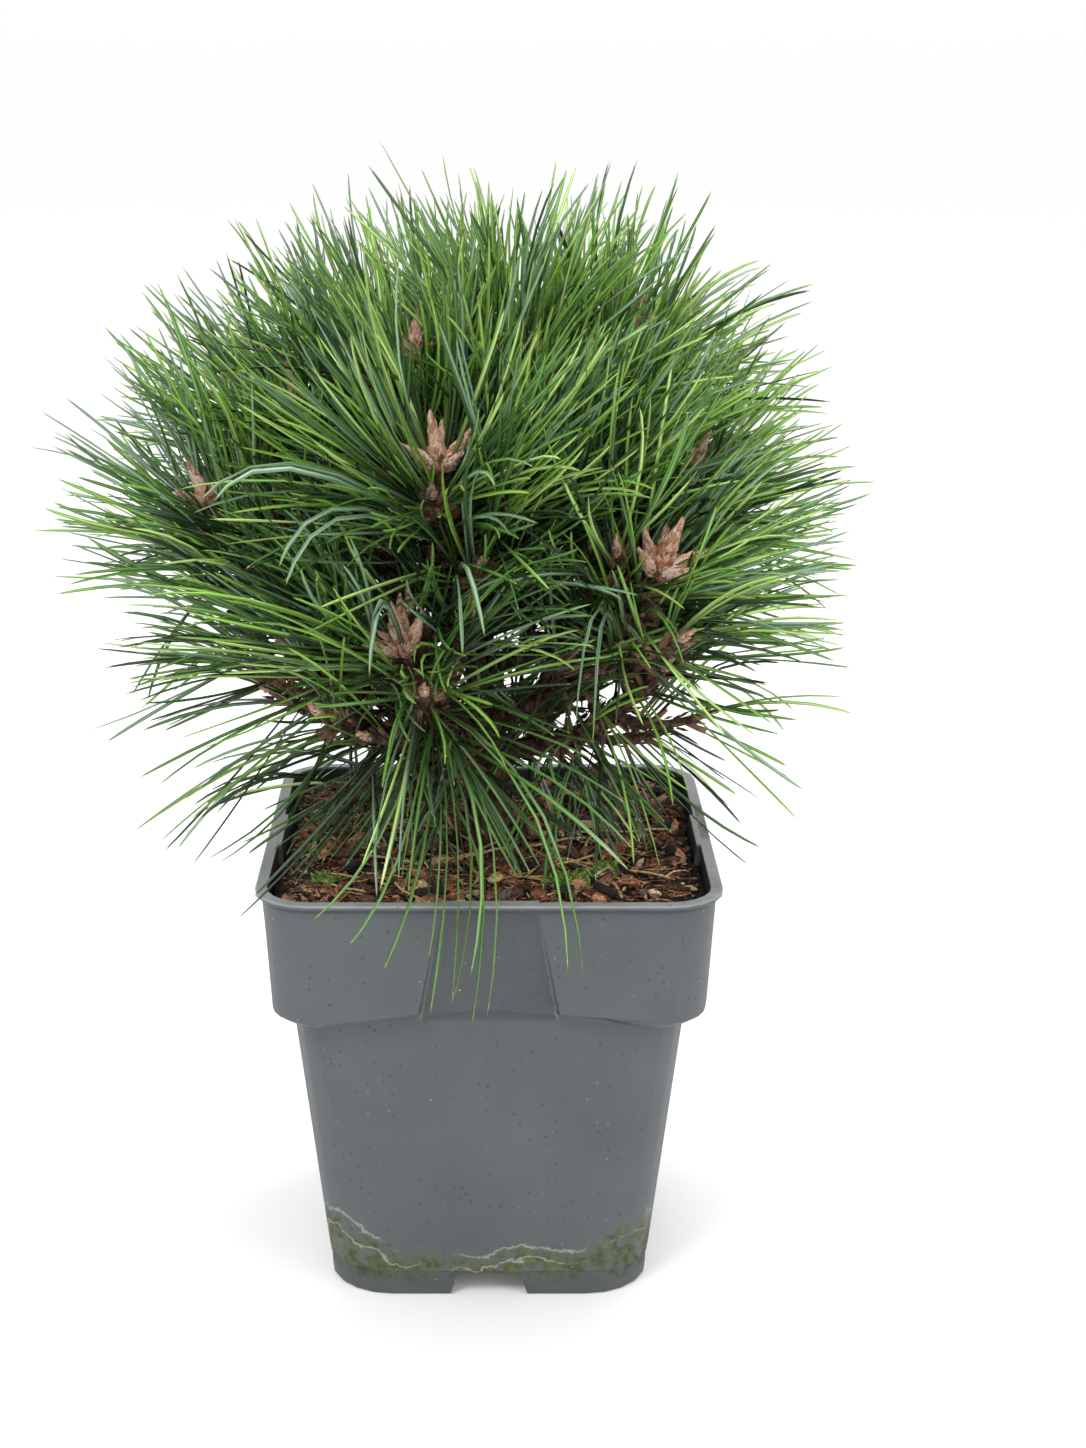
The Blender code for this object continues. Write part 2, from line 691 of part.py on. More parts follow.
def make_foliage(shoot, shoots, limbs, plant, finish):
    """A shoot's twig, its needles and its buds as one solid."""
    holder = new_collection("needles_of_" + shoot.name)
    first_radius = TRUNK_RADII[-1] * MM if shoot.leader else TWIG_RADIUS
    rings = limb_rings(shoot.rough(), first_radius, TIP_RADIUS)
    made = mesh_object("foliage_" + shoot.name, loft(rings), plant, finish, smooth=False)
    kept = grown_needles(shoot, shoots, limbs)
    for root, middle, tip in kept:
        needle_object(root, middle, tip, holder)
    add_buds(shoot, holder)
    modifier = made.modifiers.new("join", "BOOLEAN")
    modifier.operation = "UNION"
    modifier.operand_type = "COLLECTION"
    modifier.collection = holder
    modifier.solver = "MANIFOLD"
    apply_modifiers(made)
    keep_largest_skin(made)
    for piece in list(holder.objects):
        bpy.data.objects.remove(piece, do_unlink=True)
    bpy.data.collections.remove(holder)
    print(made.name, len(kept), "needles", len(made.data.polygons), "faces")
    return made


def main():
    clear_scene()
    plant = new_collection("potted_pine")
    cutters = new_collection("cutters")
    plastic = material("grey_plastic", (0.14, 0.16, 0.18), 0.5)
    earth = material("bark_soil", (0.10, 0.05, 0.03), 0.95)
    bark = material("bark", (0.16, 0.09, 0.05), 0.9)
    green = material("pine_needles", (0.05, 0.14, 0.05), 0.5)
    shoots = all_shoots()
    limbs = limb_segments(shoots)
    pieces = [make_pot(plant, cutters, plastic), make_soil(plant, earth), make_trunk(plant, bark)]
    for shoot in shoots:
        if not shoot.leader:
            pieces.append(make_bough(shoot, plant, cutters, bark))
        pieces.append(make_foliage(shoot, shoots, limbs, plant, green))
    stand = bpy.data.objects.new("stand_point", None)
    plant.objects.link(stand)
    stand.location = POT_PLACE
    for piece in pieces:
        piece.parent = stand
    bpy.data.collections.remove(cutters)


main()
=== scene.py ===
# %% [markdown]
# A young dwarf pine in its square nursery pot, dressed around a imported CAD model.
# The CAD model holds every real size. This lesson adds the finish: plastic, bark soil, bark relief,
# paired needles and winter buds. Metres, +Z up, and each piece sits where the CAD says.

import math
import random

import bpy
import numpy as np
from mathutils import Matrix, Vector, noise
from mathutils.geometry import interpolate_bezier


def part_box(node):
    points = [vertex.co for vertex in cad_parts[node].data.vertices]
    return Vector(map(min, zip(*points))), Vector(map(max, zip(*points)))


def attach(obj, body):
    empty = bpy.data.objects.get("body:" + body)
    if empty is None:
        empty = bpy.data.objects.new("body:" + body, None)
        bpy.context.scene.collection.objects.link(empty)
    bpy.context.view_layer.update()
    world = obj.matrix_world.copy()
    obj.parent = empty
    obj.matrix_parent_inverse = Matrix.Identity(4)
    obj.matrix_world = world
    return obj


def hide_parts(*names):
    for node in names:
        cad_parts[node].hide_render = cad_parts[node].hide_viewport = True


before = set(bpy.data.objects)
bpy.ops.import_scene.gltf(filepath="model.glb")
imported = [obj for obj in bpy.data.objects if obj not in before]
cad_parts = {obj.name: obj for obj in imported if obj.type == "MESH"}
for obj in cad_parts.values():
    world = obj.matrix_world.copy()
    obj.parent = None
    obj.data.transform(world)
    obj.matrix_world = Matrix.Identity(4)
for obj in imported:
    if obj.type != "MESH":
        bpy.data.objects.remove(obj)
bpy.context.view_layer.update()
MM = 0.001

# %% [markdown]
# Everything on the plant is worked out about the pot's centre line, so its place comes first.
# It could be typed in, but reading it from the pot's own box keeps the scene true to the model.

# %% Find the pot's centre line and its rim
pot_low, pot_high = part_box("pot")
POT_CENTRE = Vector(((pot_low.x + pot_high.x) / 2.0, (pot_low.y + pot_high.y) / 2.0, 0.0))
RIM_HALF = (pot_high.x - pot_low.x) / 2.0
POT_HEIGHT = pot_high.z
print("pot centre in mm:", [round(v / MM, 1) for v in POT_CENTRE], "rim half:", round(RIM_HALF / MM, 1))

# %% [markdown]
# The picture was taken from a little above the pot's rim, looking down at its middle. The camera
# stands a short arm's length away, and a small sideways shift frames the pot left of the middle.

# %% Place the camera
CAMERA_BACK = 748.3 * MM
CAMERA_HEIGHT = 394.2 * MM
CAMERA_PITCH = math.radians(73.53)
CAMERA_LENS = 61.49
CAMERA_SHIFT = 0.0373

camera_data = bpy.data.cameras.new("camera")
camera_data.sensor_width = 36.0
camera_data.lens = CAMERA_LENS
camera_data.shift_x = CAMERA_SHIFT
camera = bpy.data.objects.new("camera", camera_data)
bpy.context.scene.collection.objects.link(camera)
camera.location = POT_CENTRE + Vector((0.0, -CAMERA_BACK, CAMERA_HEIGHT))
camera.rotation_euler = (CAMERA_PITCH, 0.0, 0.0)
bpy.context.scene.camera = camera
print("camera at", [round(v, 3) for v in camera.location])

# %% [markdown]
# The picture's white is a true white. The Standard view transform keeps the colours that the
# materials state, where the default one would grey the floor and dull the greens.

# %% Choose how colours are shown
bpy.context.scene.view_settings.view_transform = "Standard"
print("view transform:", bpy.context.scene.view_settings.view_transform)

# %% [markdown]
# A plain pale floor and soft light from all round give the even look of a catalogue picture. A strong
# lamp stands in front on the left, a weaker one on the right and one above, and a bright sky fills
# the shadows. A white sheet far behind hides the line where the floor ends.

# %% Lay the floor and set the lights
FLOOR_HALF = 60.0
UPRIGHT_TURN = math.radians(90.0)
SKY_STRENGTH = 0.95
WHITE = (1.0, 1.0, 1.0, 1.0)
# Sheet: name, finish, grey, roughness, own light, place and tilt
SHEETS = (
    ("floor", "pale_floor", 0.93, 0.35, 0.06, (0.0, 0.0, 0.0), 0.0),
    ("backdrop", "white_backdrop", 0.0, 1.0, 1.0, (0.0, FLOOR_HALF, FLOOR_HALF), UPRIGHT_TURN),
)
# Lamp: name, place, width, watts
LAMPS = (
    ("key_lamp", (-0.7, -1.1, 1.7), 0.7, 17.0),
    ("fill_lamp", (1.2, -1.0, 0.9), 0.9, 6.0),
    ("top_lamp", (0.3, 0.4, 1.9), 0.8, 12.0),
)
LAMPS_AIM = Vector((0.0, 0.0, 0.18))


def plain_material(name, colour, roughness):
    """A material with one colour on a Principled shader, and that shader for what comes next."""
    made = bpy.data.materials.new(name)
    made.use_nodes = True
    shader = made.node_tree.nodes["Principled BSDF"]
    shader.inputs["Base Color"].default_value = (*colour, 1.0)
    shader.inputs["Roughness"].default_value = roughness
    made.diffuse_color = (*colour, 1.0)
    return made, shader


bpy.ops.object.select_all(action="DESELECT")
for name, finish_name, grey, roughness, glow, place, tilt in SHEETS:
    bpy.ops.mesh.primitive_plane_add(size=2.0 * FLOOR_HALF, location=place, rotation=(tilt, 0.0, 0.0))
    sheet = bpy.context.active_object
    sheet.name = name
    finish, shader = plain_material(finish_name, (grey, grey, grey), roughness)
    shader.inputs["Emission Color"].default_value = WHITE
    shader.inputs["Emission Strength"].default_value = glow
    sheet.data.materials.append(finish)

world = bpy.data.worlds.new("studio")
world.use_nodes = True
world.node_tree.nodes["Background"].inputs["Color"].default_value = WHITE
world.node_tree.nodes["Background"].inputs["Strength"].default_value = SKY_STRENGTH
bpy.context.scene.world = world

for name, place, width, watts in LAMPS:
    lamp_data = bpy.data.lights.new(name, "AREA")
    lamp_data.size = width
    lamp_data.energy = watts
    lamp = bpy.data.objects.new(name, lamp_data)
    bpy.context.scene.collection.objects.link(lamp)
    lamp.location = place
    lamp.rotation_euler = (LAMPS_AIM - lamp.location).to_track_quat("-Z", "Y").to_euler()
print("lamps:", len(LAMPS))

# %% [markdown]
# Every finish here is a network of a few kinds of node, which could be dragged together by hand in
# the shader editor. Here each node's result is a Mask, which adds and multiplies like a number and
# leaves the Math node that does it, so a material reads as a recipe.

# %% Helpers for shader nodes


class Mask:
    """One result in a material's network: a number, a colour or a place."""

    def __init__(self, tree, socket):
        self.tree = tree
        self.socket = socket

    def maths(self, operation, *others):
        inputs = dict(enumerate([self, *others]))
        return result(self.tree, "ShaderNodeMath", inputs, operation=operation)

    def __add__(self, other):
        return self.maths("ADD", other)

    def __sub__(self, other):
        return self.maths("SUBTRACT", other)

    def __mul__(self, other):
        return self.maths("MULTIPLY", other)

    def __abs__(self):
        return self.maths("ABSOLUTE")

    def fade(self, low, high):
        """0 below low and 1 above high, with a soft step between. It falls where low is the larger."""
        inputs = {"Value": self, "From Min": low, "From Max": high}
        return result(self.tree, "ShaderNodeMapRange", inputs, interpolation_type="SMOOTHSTEP")

    def mix(self, first, second):
        """Two colours mixed, the second by this share."""
        return result(self.tree, "ShaderNodeMix", {0: self, 6: first, 7: second}, 2, data_type="RGBA")

    def into(self, shader, name):
        self.tree.links.new(self.socket, shader.inputs[name])


def result(tree, kind, inputs, output=0, **settings):
    """One result of a new node with its settings, and its inputs linked or set."""
    made = tree.nodes.new(kind)
    for name, value in settings.items():
        setattr(made, name, value)
    for name, value in inputs.items():
        socket = made.inputs[name]
        if isinstance(value, Mask):
            tree.links.new(value.socket, socket)
        else:
            socket.default_value = (*value, 1.0) if socket.type == "RGBA" else value
    return Mask(tree, made.outputs[output])


def split(place):
    """The three numbers of a place."""
    first = result(place.tree, "ShaderNodeSeparateXYZ", {"Vector": place})
    return [Mask(place.tree, socket) for socket in first.socket.node.outputs]


def grain(place, scale, detail=3.0, roughness=0.55):
    """Noise with about scale grains to the metre, from 0 to 1."""
    inputs = {"Vector": place, "Scale": scale, "Detail": detail, "Roughness": roughness}
    return result(place.tree, "ShaderNodeTexNoise", inputs, "Fac")


def cells(place, scale):
    """Voronoi cells, scale to the metre: the distance to a cell's middle, and a number for the cell."""
    near = result(place.tree, "ShaderNodeTexVoronoi", {"Vector": place, "Scale": scale}, "Distance")
    colour = Mask(place.tree, near.socket.node.outputs["Color"])
    return near, result(place.tree, "ShaderNodeSeparateColor", {"Color": colour})


def object_place(material, offset=(0.0, 0.0, 0.0), scale=(1.0, 1.0, 1.0)):
    """Object coordinates in metres, moved by offset and stretched."""
    tree = material.node_tree
    place = result(tree, "ShaderNodeTexCoord", {}, "Object")
    return result(tree, "ShaderNodeMapping", {"Vector": place, "Location": offset, "Scale": scale})


def bumped(shader, height, distance, strength=1.0):
    """Lets a height of 0 to 1 tilt the light on a surface, as if it stood distance high."""
    inputs = {"Height": height, "Distance": distance, "Strength": strength}
    result(height.tree, "ShaderNodeBump", inputs).into(shader, "Normal")


print("node helpers ready")

# %% [markdown]
# The pot is thermoformed polypropylene, mid grey with a touch of blue and a satin skin. Watering has
# left green algae and wavy lime lines round its foot, higher at the corners, and it is speckled with
# peat dust. Painted shade darkens its pressed panels, the crease below the lip and the inner wall, and
# painted highlights lighten the panels' arrises and the lip. A painted texture would do, but masks
# worked out from height and noise fit any side.

# %% Mix the pot's plastic
PLASTIC_GREY = (0.066, 0.076, 0.082)
PLASTIC_PALE = (0.084, 0.095, 0.101)
PLASTIC_DULL = (0.050, 0.055, 0.060)
# the pale grey of the painted highlights on the arris and the lip
PLASTIC_HIGHLIGHT = (0.330, 0.345, 0.350)
ALGAE_DARK = (0.022, 0.032, 0.008)
ALGAE_PALE = (0.090, 0.112, 0.044)
LIME_WHITE = (0.40, 0.41, 0.36)
# Layers over the plastic: how much each covers, and its colour
# painted shade: the pressed panel is darker
PANEL_SHADE_LAYER = (0.34, (0.020, 0.023, 0.026))
# painted highlight: a light line along the panel's arris
ARRIS_HIGHLIGHT_LAYER = (0.22, PLASTIC_HIGHLIGHT)
# painted shade: a dark line in the crease under the lip
CREASE_SHADE_LAYER = (0.5, (0.020, 0.022, 0.022))
# painted highlight: the top edge of the lip is lighter
LIP_HIGHLIGHT_LAYER = (0.8, PLASTIC_HIGHLIGHT)
FOOT_LAYER = (0.22, (0.020, 0.024, 0.018))
LIME_LAYER = (0.5, LIME_WHITE)
# painted shade: the inner wall above the soil is nearly black
INSIDE_SHADE_LAYER = (0.85, (0.012, 0.011, 0.010))
DIRT_LAYER = (0.85, (0.045, 0.026, 0.014))
SEAM_LAYER = (0.7, (0.020, 0.020, 0.020))
ALGAE_COVER, HAZE_COVER = 0.92, 0.26
# Specks: to the metre, radius and share of the cells, and colour
SPECKS = (
    (170.0, 0.13, 0.42, (0.045, 0.028, 0.018)),
    (300.0, 0.13, 0.20, (0.240, 0.240, 0.220)),
    (380.0, 0.20, 0.34, (0.022, 0.020, 0.018)),
    (120.0, 0.05, 0.15, (0.420, 0.400, 0.360)),
)
SPECK_COVER = 0.6
# The bare panel: height of its foot and top, and its half width there
PANEL_FOOT_Z, PANEL_TOP_Z = 98.0 * MM, 134.5 * MM
PANEL_FOOT_HALF, PANEL_TOP_HALF = 20.6 * MM, 14.6 * MM
CREASE_Z = 135.6 * MM
# The stains' upper edge at the middle of a side and at a corner, and how far it waves
STAIN_AT_MIDDLE, STAIN_AT_CORNER = 14.0 * MM, 27.0 * MM
STAIN_WAVES = 22.0 * MM
CORNER_REACH, CORNER_POWER = 46.0 * MM, 2.2
LIME_APART = 5.0 * MM
DIRT_AT, DIRT_ENDS = 8.0 * MM, (19.0 * MM, 15.0 * MM)
SEAM_AT, SEAM_ENDS = -5.0 * MM, (0.7 * MM, 0.3 * MM)
# Soft steps from none to full, by height
COLLAR_BEGINS, COLLAR_ENDS = (97.0 * MM, 98.5 * MM), (136.0 * MM, 134.0 * MM)
LIP_BEGINS, RIM_BEGINS = (137.1 * MM, 137.8 * MM), (136.2 * MM, 136.8 * MM)
INSIDE_ENDS = (137.9 * MM, 136.6 * MM)
FOOT_ENDS = (8.6 * MM, 7.8 * MM)
# and by the distance to the right and to the left
RIGHT_BEGINS, LEFT_BEGINS = (66.8 * MM, 67.2 * MM), (-66.5 * MM, -67.0 * MM)


def laid(mask, layer, below):
    """A colour with a layer over it where the mask says."""
    cover, tone = layer
    return (mask * cover).mix(below, tone)


def with_panel_shade_and_highlights(colour, inward, z, broad):
    """Painted shade on the pressed panel, a painted highlight on its arris, painted shade in the crease
    below the lip and a painted highlight on the lip.
    """
    up = (z - PANEL_FOOT_Z).maths("DIVIDE", PANEL_TOP_Z - PANEL_FOOT_Z)
    past = inward - (up * (PANEL_TOP_HALF - PANEL_FOOT_HALF) + PANEL_FOOT_HALF)
    on_collar = z.fade(*COLLAR_BEGINS) * z.fade(*COLLAR_ENDS)
    # painted shade over the pressed panel
    colour = laid(past.fade(0.3 * MM, -0.2 * MM) * on_collar, PANEL_SHADE_LAYER, colour)
    # painted highlight along the panel's arris
    colour = laid(abs(past).fade(0.8 * MM, 0.1 * MM) * on_collar, ARRIS_HIGHLIGHT_LAYER, colour)
    # painted shade in the crease below the lip
    colour = laid(abs(z - CREASE_Z).fade(1.1 * MM, 0.2 * MM), CREASE_SHADE_LAYER, colour)
    # painted highlight along the top of the lip
    return laid(z.fade(*LIP_BEGINS) * broad.fade(0.1, 0.5), LIP_HIGHLIGHT_LAYER, colour)


def with_stains(colour, place, inward, z, patches):
    """Algae in patches, a green haze and two lime lines round the foot, and the mask of the algae."""
    corner = inward.maths("DIVIDE", CORNER_REACH).maths("POWER", CORNER_POWER)
    edge = corner * (STAIN_AT_CORNER - STAIN_AT_MIDDLE) + STAIN_AT_MIDDLE
    under = edge + (grain(place, 55.0, 5.0, 0.6) - 0.5) * STAIN_WAVES - z
    stained = under.fade(0.0, 4.0 * MM) * patches * z.fade(2.0 * MM, 9.0 * MM)
    algae = grain(place, 380.0, 5.0).fade(0.35, 0.65).mix(ALGAE_DARK, ALGAE_PALE)
    colour = laid(stained, (ALGAE_COVER, algae), colour)
    haze = under.fade(-5.0 * MM, 5.0 * MM) * HAZE_COVER * z.fade(5.0 * MM, 10.0 * MM)
    colour = haze.mix(colour, ALGAE_PALE)
    colour = laid(z.fade(*FOOT_ENDS), FOOT_LAYER, colour)
    second = abs(under - LIME_APART).fade(0.6 * MM, 0.1 * MM)
    ring = abs(under).fade(0.8 * MM, 0.1 * MM).maths("MAXIMUM", second)
    return laid(ring * grain(place, 70.0, 4.0).fade(0.42, 0.56), LIME_LAYER, colour), stained


def with_inner_shade_and_rim_marks(colour, place, x, y, z, patches):
    """Painted shade on the inner wall, the dirt on the right of the rim and the seam on its left."""
    inputs = {0: place, 1: (1.0, 1.0, 0.0)}
    level = result(place.tree, "ShaderNodeVectorMath", inputs, operation="MULTIPLY")
    facing = result(place.tree, "ShaderNodeNewGeometry", {}, "True Normal")
    inputs = {0: level, 1: facing}
    turned_out = result(place.tree, "ShaderNodeVectorMath", inputs, 1, operation="DOT_PRODUCT")
    # painted shade on the inner wall
    inside = turned_out.fade(-2.0 * MM, -12.0 * MM) * z.fade(*INSIDE_ENDS)
    colour = laid(inside, INSIDE_SHADE_LAYER, colour)
    on_rim = z.fade(*RIM_BEGINS)
    dirt = abs(y - DIRT_AT).fade(*DIRT_ENDS) * (x.fade(*RIGHT_BEGINS) * on_rim)
    colour = laid(dirt * patches.maths("MAXIMUM", 0.6), DIRT_LAYER, colour)
    seam = abs(y - SEAM_AT).fade(*SEAM_ENDS) * (x.fade(*LEFT_BEGINS) * on_rim)
    return laid(seam, SEAM_LAYER, colour)


def pot_plastic():
    made, shader = plain_material("pot_plastic", PLASTIC_GREY, 0.5)
    place = object_place(made, offset=-POT_CENTRE)
    x, y, z = split(place)
    inward = abs(x).maths("MINIMUM", abs(y))
    broad = grain(place, 28.0, 4.0)
    fine = grain(place, 900.0, 5.0, 0.7)
    patches = grain(place, 150.0, 7.0, 0.7).fade(0.42, 0.54)
    colour = laid(fine, (0.16, PLASTIC_DULL), broad.fade(0.3, 0.75).mix(PLASTIC_GREY, PLASTIC_PALE))
    colour = with_panel_shade_and_highlights(colour, inward, z, broad)
    colour, stained = with_stains(colour, place, inward, z, patches)
    colour = with_inner_shade_and_rim_marks(colour, place, x, y, z, patches)
    speck = 0.0
    for scale, radius, share, tone in SPECKS:
        near, number = cells(place, scale)
        dots = near.fade(radius, radius * 0.5) * number.fade(1.0 - share, 1.02 - share)
        colour = laid(dots, (SPECK_COVER, tone), colour)
        speck = dots.maths("MAXIMUM", speck)
    colour.into(shader, "Base Color")
    (broad * 0.14 + 0.42 + stained * 0.3).into(shader, "Roughness")
    bumped(shader, fine * 0.5 + speck * 1.2 + stained * 0.8, 0.06 * MM, 0.6)
    return made


POT_PLASTIC = pot_plastic()
print("pot plastic:", len(POT_PLASTIC.node_tree.nodes), "nodes")

# %% [markdown]
# A thermoformed pot has no sharp edge anywhere, and the sheet draws softest round the collar's foot.
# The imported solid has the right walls, so a copy of it is merged, its flat faces are made whole, and
# then the collar's lower edge gets a wide bevel and every other edge a fine one that catches light.

# %% Finish the pot
EDGE_ROUND = 0.45 * MM
SHARP_FROM = math.radians(26.0)
FLAT_WITHIN = math.radians(0.6)
COLLAR_ROUND = 1.5 * MM
COLLAR_FOOT_Z = (96.5 * MM, 101.5 * MM)
COLLAR_OUTSIDE = 63.9 * MM
JOINED_WITHIN = 0.01 * MM


def make_whole(thing, flat=None):
    """Selects one object, merges its doubled points and flat faces, and leaves it in edit mode."""
    bpy.ops.object.select_all(action="DESELECT")
    thing.select_set(True)
    bpy.context.view_layer.objects.active = thing
    bpy.ops.object.mode_set(mode="EDIT")
    bpy.ops.mesh.select_all(action="SELECT")
    bpy.ops.mesh.remove_doubles(threshold=JOINED_WITHIN)
    if flat:
        bpy.ops.mesh.dissolve_limited(angle_limit=flat)
    bpy.ops.mesh.normals_make_consistent(inside=False)


def shape_with(thing, kind, **settings):
    """Gives the selected object a modifier and applies it."""
    modifier = thing.modifiers.new("change", kind)
    for name, value in settings.items():
        setattr(modifier, name, value)
    bpy.ops.object.modifier_apply(modifier="change")


def make_piece(thing, materials, replaced=None):
    """Gives an object its finishes and the root body, in place of a CAD node if one is named."""
    thing.data.materials.clear()
    for material in materials:
        thing.data.materials.append(material)
    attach(thing, "root")
    if replaced:
        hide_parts(replaced)


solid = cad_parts["pot"]
pot = bpy.data.objects.new("moulded_pot", solid.data.copy())
bpy.context.scene.collection.objects.link(pot)
pot.data.transform(solid.matrix_world)
pot.data.name = "moulded_pot"
make_whole(pot, FLAT_WITHIN)
bpy.ops.mesh.select_all(action="DESELECT")
bpy.ops.mesh.select_mode(type="EDGE")
bpy.ops.object.mode_set(mode="OBJECT")
points = pot.data.vertices
for edge in pot.data.edges:
    ends = [points[i].co - POT_CENTRE for i in edge.vertices]
    low = all(COLLAR_FOOT_Z[0] < end.z < COLLAR_FOOT_Z[1] for end in ends)
    outside = all(max(abs(end.x), abs(end.y)) > COLLAR_OUTSIDE for end in ends)
    level = abs(ends[0].z - ends[1].z) < abs((ends[0] - ends[1]).xy.length) * 0.5
    edge.select = low and outside and level
print("edges round the collar's foot:", sum(edge.select for edge in pot.data.edges))
bpy.ops.object.mode_set(mode="EDIT")
bpy.ops.mesh.bevel(offset=COLLAR_ROUND, segments=3, affect="EDGES", clamp_overlap=True)
bpy.ops.mesh.select_mode(type="VERT")
bpy.ops.object.mode_set(mode="OBJECT")
shape_with(pot, "BEVEL", width=EDGE_ROUND, segments=3, limit_method="ANGLE", angle_limit=SHARP_FROM)
pot.data.shade_smooth()
shape_with(pot, "WEIGHTED_NORMAL", weight=80)
make_piece(pot, [POT_PLASTIC], "pot")
print("pot faces:", len(pot.data.polygons))

# %% [markdown]
# Chips, scales and needles come by the thousand. Adding each as an object would be slow, and the
# export drops particles. So their points are gathered in one heap, and each heap becomes one mesh.

# %% Gather small things in heaps


class Heap:
    """Points and faces of many small closed things, with a material number for each face."""

    def __init__(self):
        self.points = []
        self.faces = []
        self.shades = []

    def add(self, points, faces, shade):
        """One more thing. shade is a material's number, or one number for each face."""
        count = len(self.points)
        self.points.extend(points)
        self.faces.extend([[i + count for i in face] for face in faces])
        self.shades.extend([shade] * len(faces) if isinstance(shade, int) else shade)

    def mesh(self, name):
        made = bpy.data.meshes.new(name)
        made.from_pydata([tuple(p) for p in self.points], [], self.faces)
        return made

    def piece(self, name, materials, smooth_below=None):
        """The heap as one object on the body, shaded smooth where faces meet below an angle."""
        finish_mesh(self.mesh(name), materials, self.shades, smooth_below)


def finish_mesh(mesh, materials, shades, smooth_below=None, replaced=None):
    """Makes a mesh a piece of the part, with its finishes dealt out to the faces."""
    made = bpy.data.objects.new(mesh.name, mesh)
    bpy.context.scene.collection.objects.link(made)
    make_piece(made, materials, replaced)
    mesh.polygons.foreach_set("material_index", np.array(shades, np.int32))
    if smooth_below is not None:
        mesh.shade_smooth()
        mesh.set_sharp_from_angle(angle=math.radians(smooth_below))
    mesh.update()
    print(mesh.name, sum(len(face.vertices) - 2 for face in mesh.polygons), "triangles")


# %% [markdown]
# The pot is filled with bark soil: a dark, crumbly bed of peat with chips of bark, fibres, bits of
# wood and old needles on it. The bed is a grid whose points are raised by noise, which is how a
# sculptor would rough it in. The same height rule then tells each chip where to lie.

# %% Shape the bed of soil
SOIL_LINE = 132.6 * MM
SOIL_HALF = 65.5 * MM
SOIL_CORNER = 13.0 * MM
SOIL_CORE = SOIL_HALF - SOIL_CORNER
SOIL_STEPS = 150
SOIL_THICK = 1.0 * MM
# Unevenness of the bed: waves to the metre, and their height in millimetres
SOIL_WAVES = ((60.0, 1.5), (170.0, 1.3), (520.0, 0.8), (1300.0, 0.35))
PANEL_PRESS = 1.7 * MM  # how far the pot's panels press into the bed at the middle of each side
PANEL_WIDE = 19.0 * MM
MOUND_HIGH, MOUND_WIDE = 2.2 * MM, 22.0 * MM
EDGE_DROP = 1.2 * MM


def soil_height(x, y):
    """Height of the bed at a place from the pot's centre line."""
    spot = Vector((x, y, 0.0))
    waves = sum(noise.noise(spot * scale) * high for scale, high in SOIL_WAVES) * MM
    mound = MOUND_HIGH * math.exp(-((spot.length / MOUND_WIDE) ** 2))
    edge = max(abs(x), abs(y)) / SOIL_HALF
    return SOIL_LINE + mound + waves - edge**8 * EDGE_DROP


def pressed(near, along):
    """A coordinate near the pot's wall, moved in where a panel presses on the bed."""
    share = (abs(near) / SOIL_HALF) ** 12 * math.exp(-((along / PANEL_WIDE) ** 8))
    return near - math.copysign(PANEL_PRESS * share, near)


def inside_soil(x, y, spare):
    """Whether a place lies on the bed, spare in from the pot's wall."""
    core = SOIL_CORE - spare
    return math.hypot(max(0.0, abs(x) - core), max(0.0, abs(y) - core)) < SOIL_CORNER


def earth_material(name, dark, pale, scale):
    """Rough organic matter: two tones in grains, with a lively bump."""
    made, shader = plain_material(name, dark, 0.9)
    place = object_place(made)
    spots = grain(place, scale, 6.0, 0.7)
    fleck = grain(place, scale * 3.1, 4.0, 0.7).fade(0.62, 0.75)
    colour = spots.fade(0.40, 0.62).mix(dark, pale)
    laid(fleck, (0.5, [0.5 * v for v in dark]), colour).into(shader, "Base Color")
    (spots * 0.25 + 0.7).into(shader, "Roughness")
    bumped(shader, spots, 0.5 * MM)
    return made


PEAT = earth_material("peat", (0.003, 0.002, 0.002), (0.024, 0.012, 0.008), 700.0)

bpy.ops.object.select_all(action="DESELECT")
bpy.ops.mesh.primitive_grid_add(x_subdivisions=SOIL_STEPS, y_subdivisions=SOIL_STEPS, size=2.0 * SOIL_HALF)
soil_top = bpy.context.active_object
soil_top.name = soil_top.data.name = "soil_top"
for vertex in soil_top.data.vertices:
    x, y = vertex.co.xy
    dx, dy = max(0.0, abs(x) - SOIL_CORE), max(0.0, abs(y) - SOIL_CORE)
    round_off = SOIL_CORNER / max(SOIL_CORNER, math.hypot(dx, dy))
    x = math.copysign(min(abs(x), SOIL_CORE) + dx * round_off, x)
    y = math.copysign(min(abs(y), SOIL_CORE) + dy * round_off, y)
    x, y = pressed(x, y), pressed(y, x)
    vertex.co = POT_CENTRE + Vector((x, y, soil_height(x, y)))
shape_with(soil_top, "SOLIDIFY", thickness=SOIL_THICK)
soil_top.data.shade_smooth()
make_piece(soil_top, [PEAT])
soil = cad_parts["soil"]
soil.data.materials.clear()
soil.data.materials.append(PEAT)
print("soil bed faces:", len(soil_top.data.polygons))

# %% [markdown]
# Composted bark breaks into flat, angular chips in rust, orange and dark brown, from a few
# millimetres to a thumbnail. One chip is a slab with an uneven outline and worn edges. Each copy
# draws its own outline, size, tilt and colour from a seeded draw, and lies on the bed below it.

# %% Scatter the bark chips
CHIP_COUNT = 1500
CHIP_SIDES = 6
CHIP_SEED = 21
CHIP_SHORTEST, CHIP_LONGER = 1.6, 9.5
CHIP_WIDTHS = (0.26, 0.7)  # shares of the length
CHIP_DEPTHS = (0.16, 0.42)
CHIP_THICKEST = 2.4 * MM
CHIP_TILT = 34.0
ANY_WAY = (0.0, 6.28)
TRUNK_CLEAR = 11.0 * MM
# A slab's outline at its foot, middle and top: height as a share of its thickness, and spread
SLAB_RINGS = ((-0.5, 0.8), (0.05, 1.0), (0.5, 0.74))
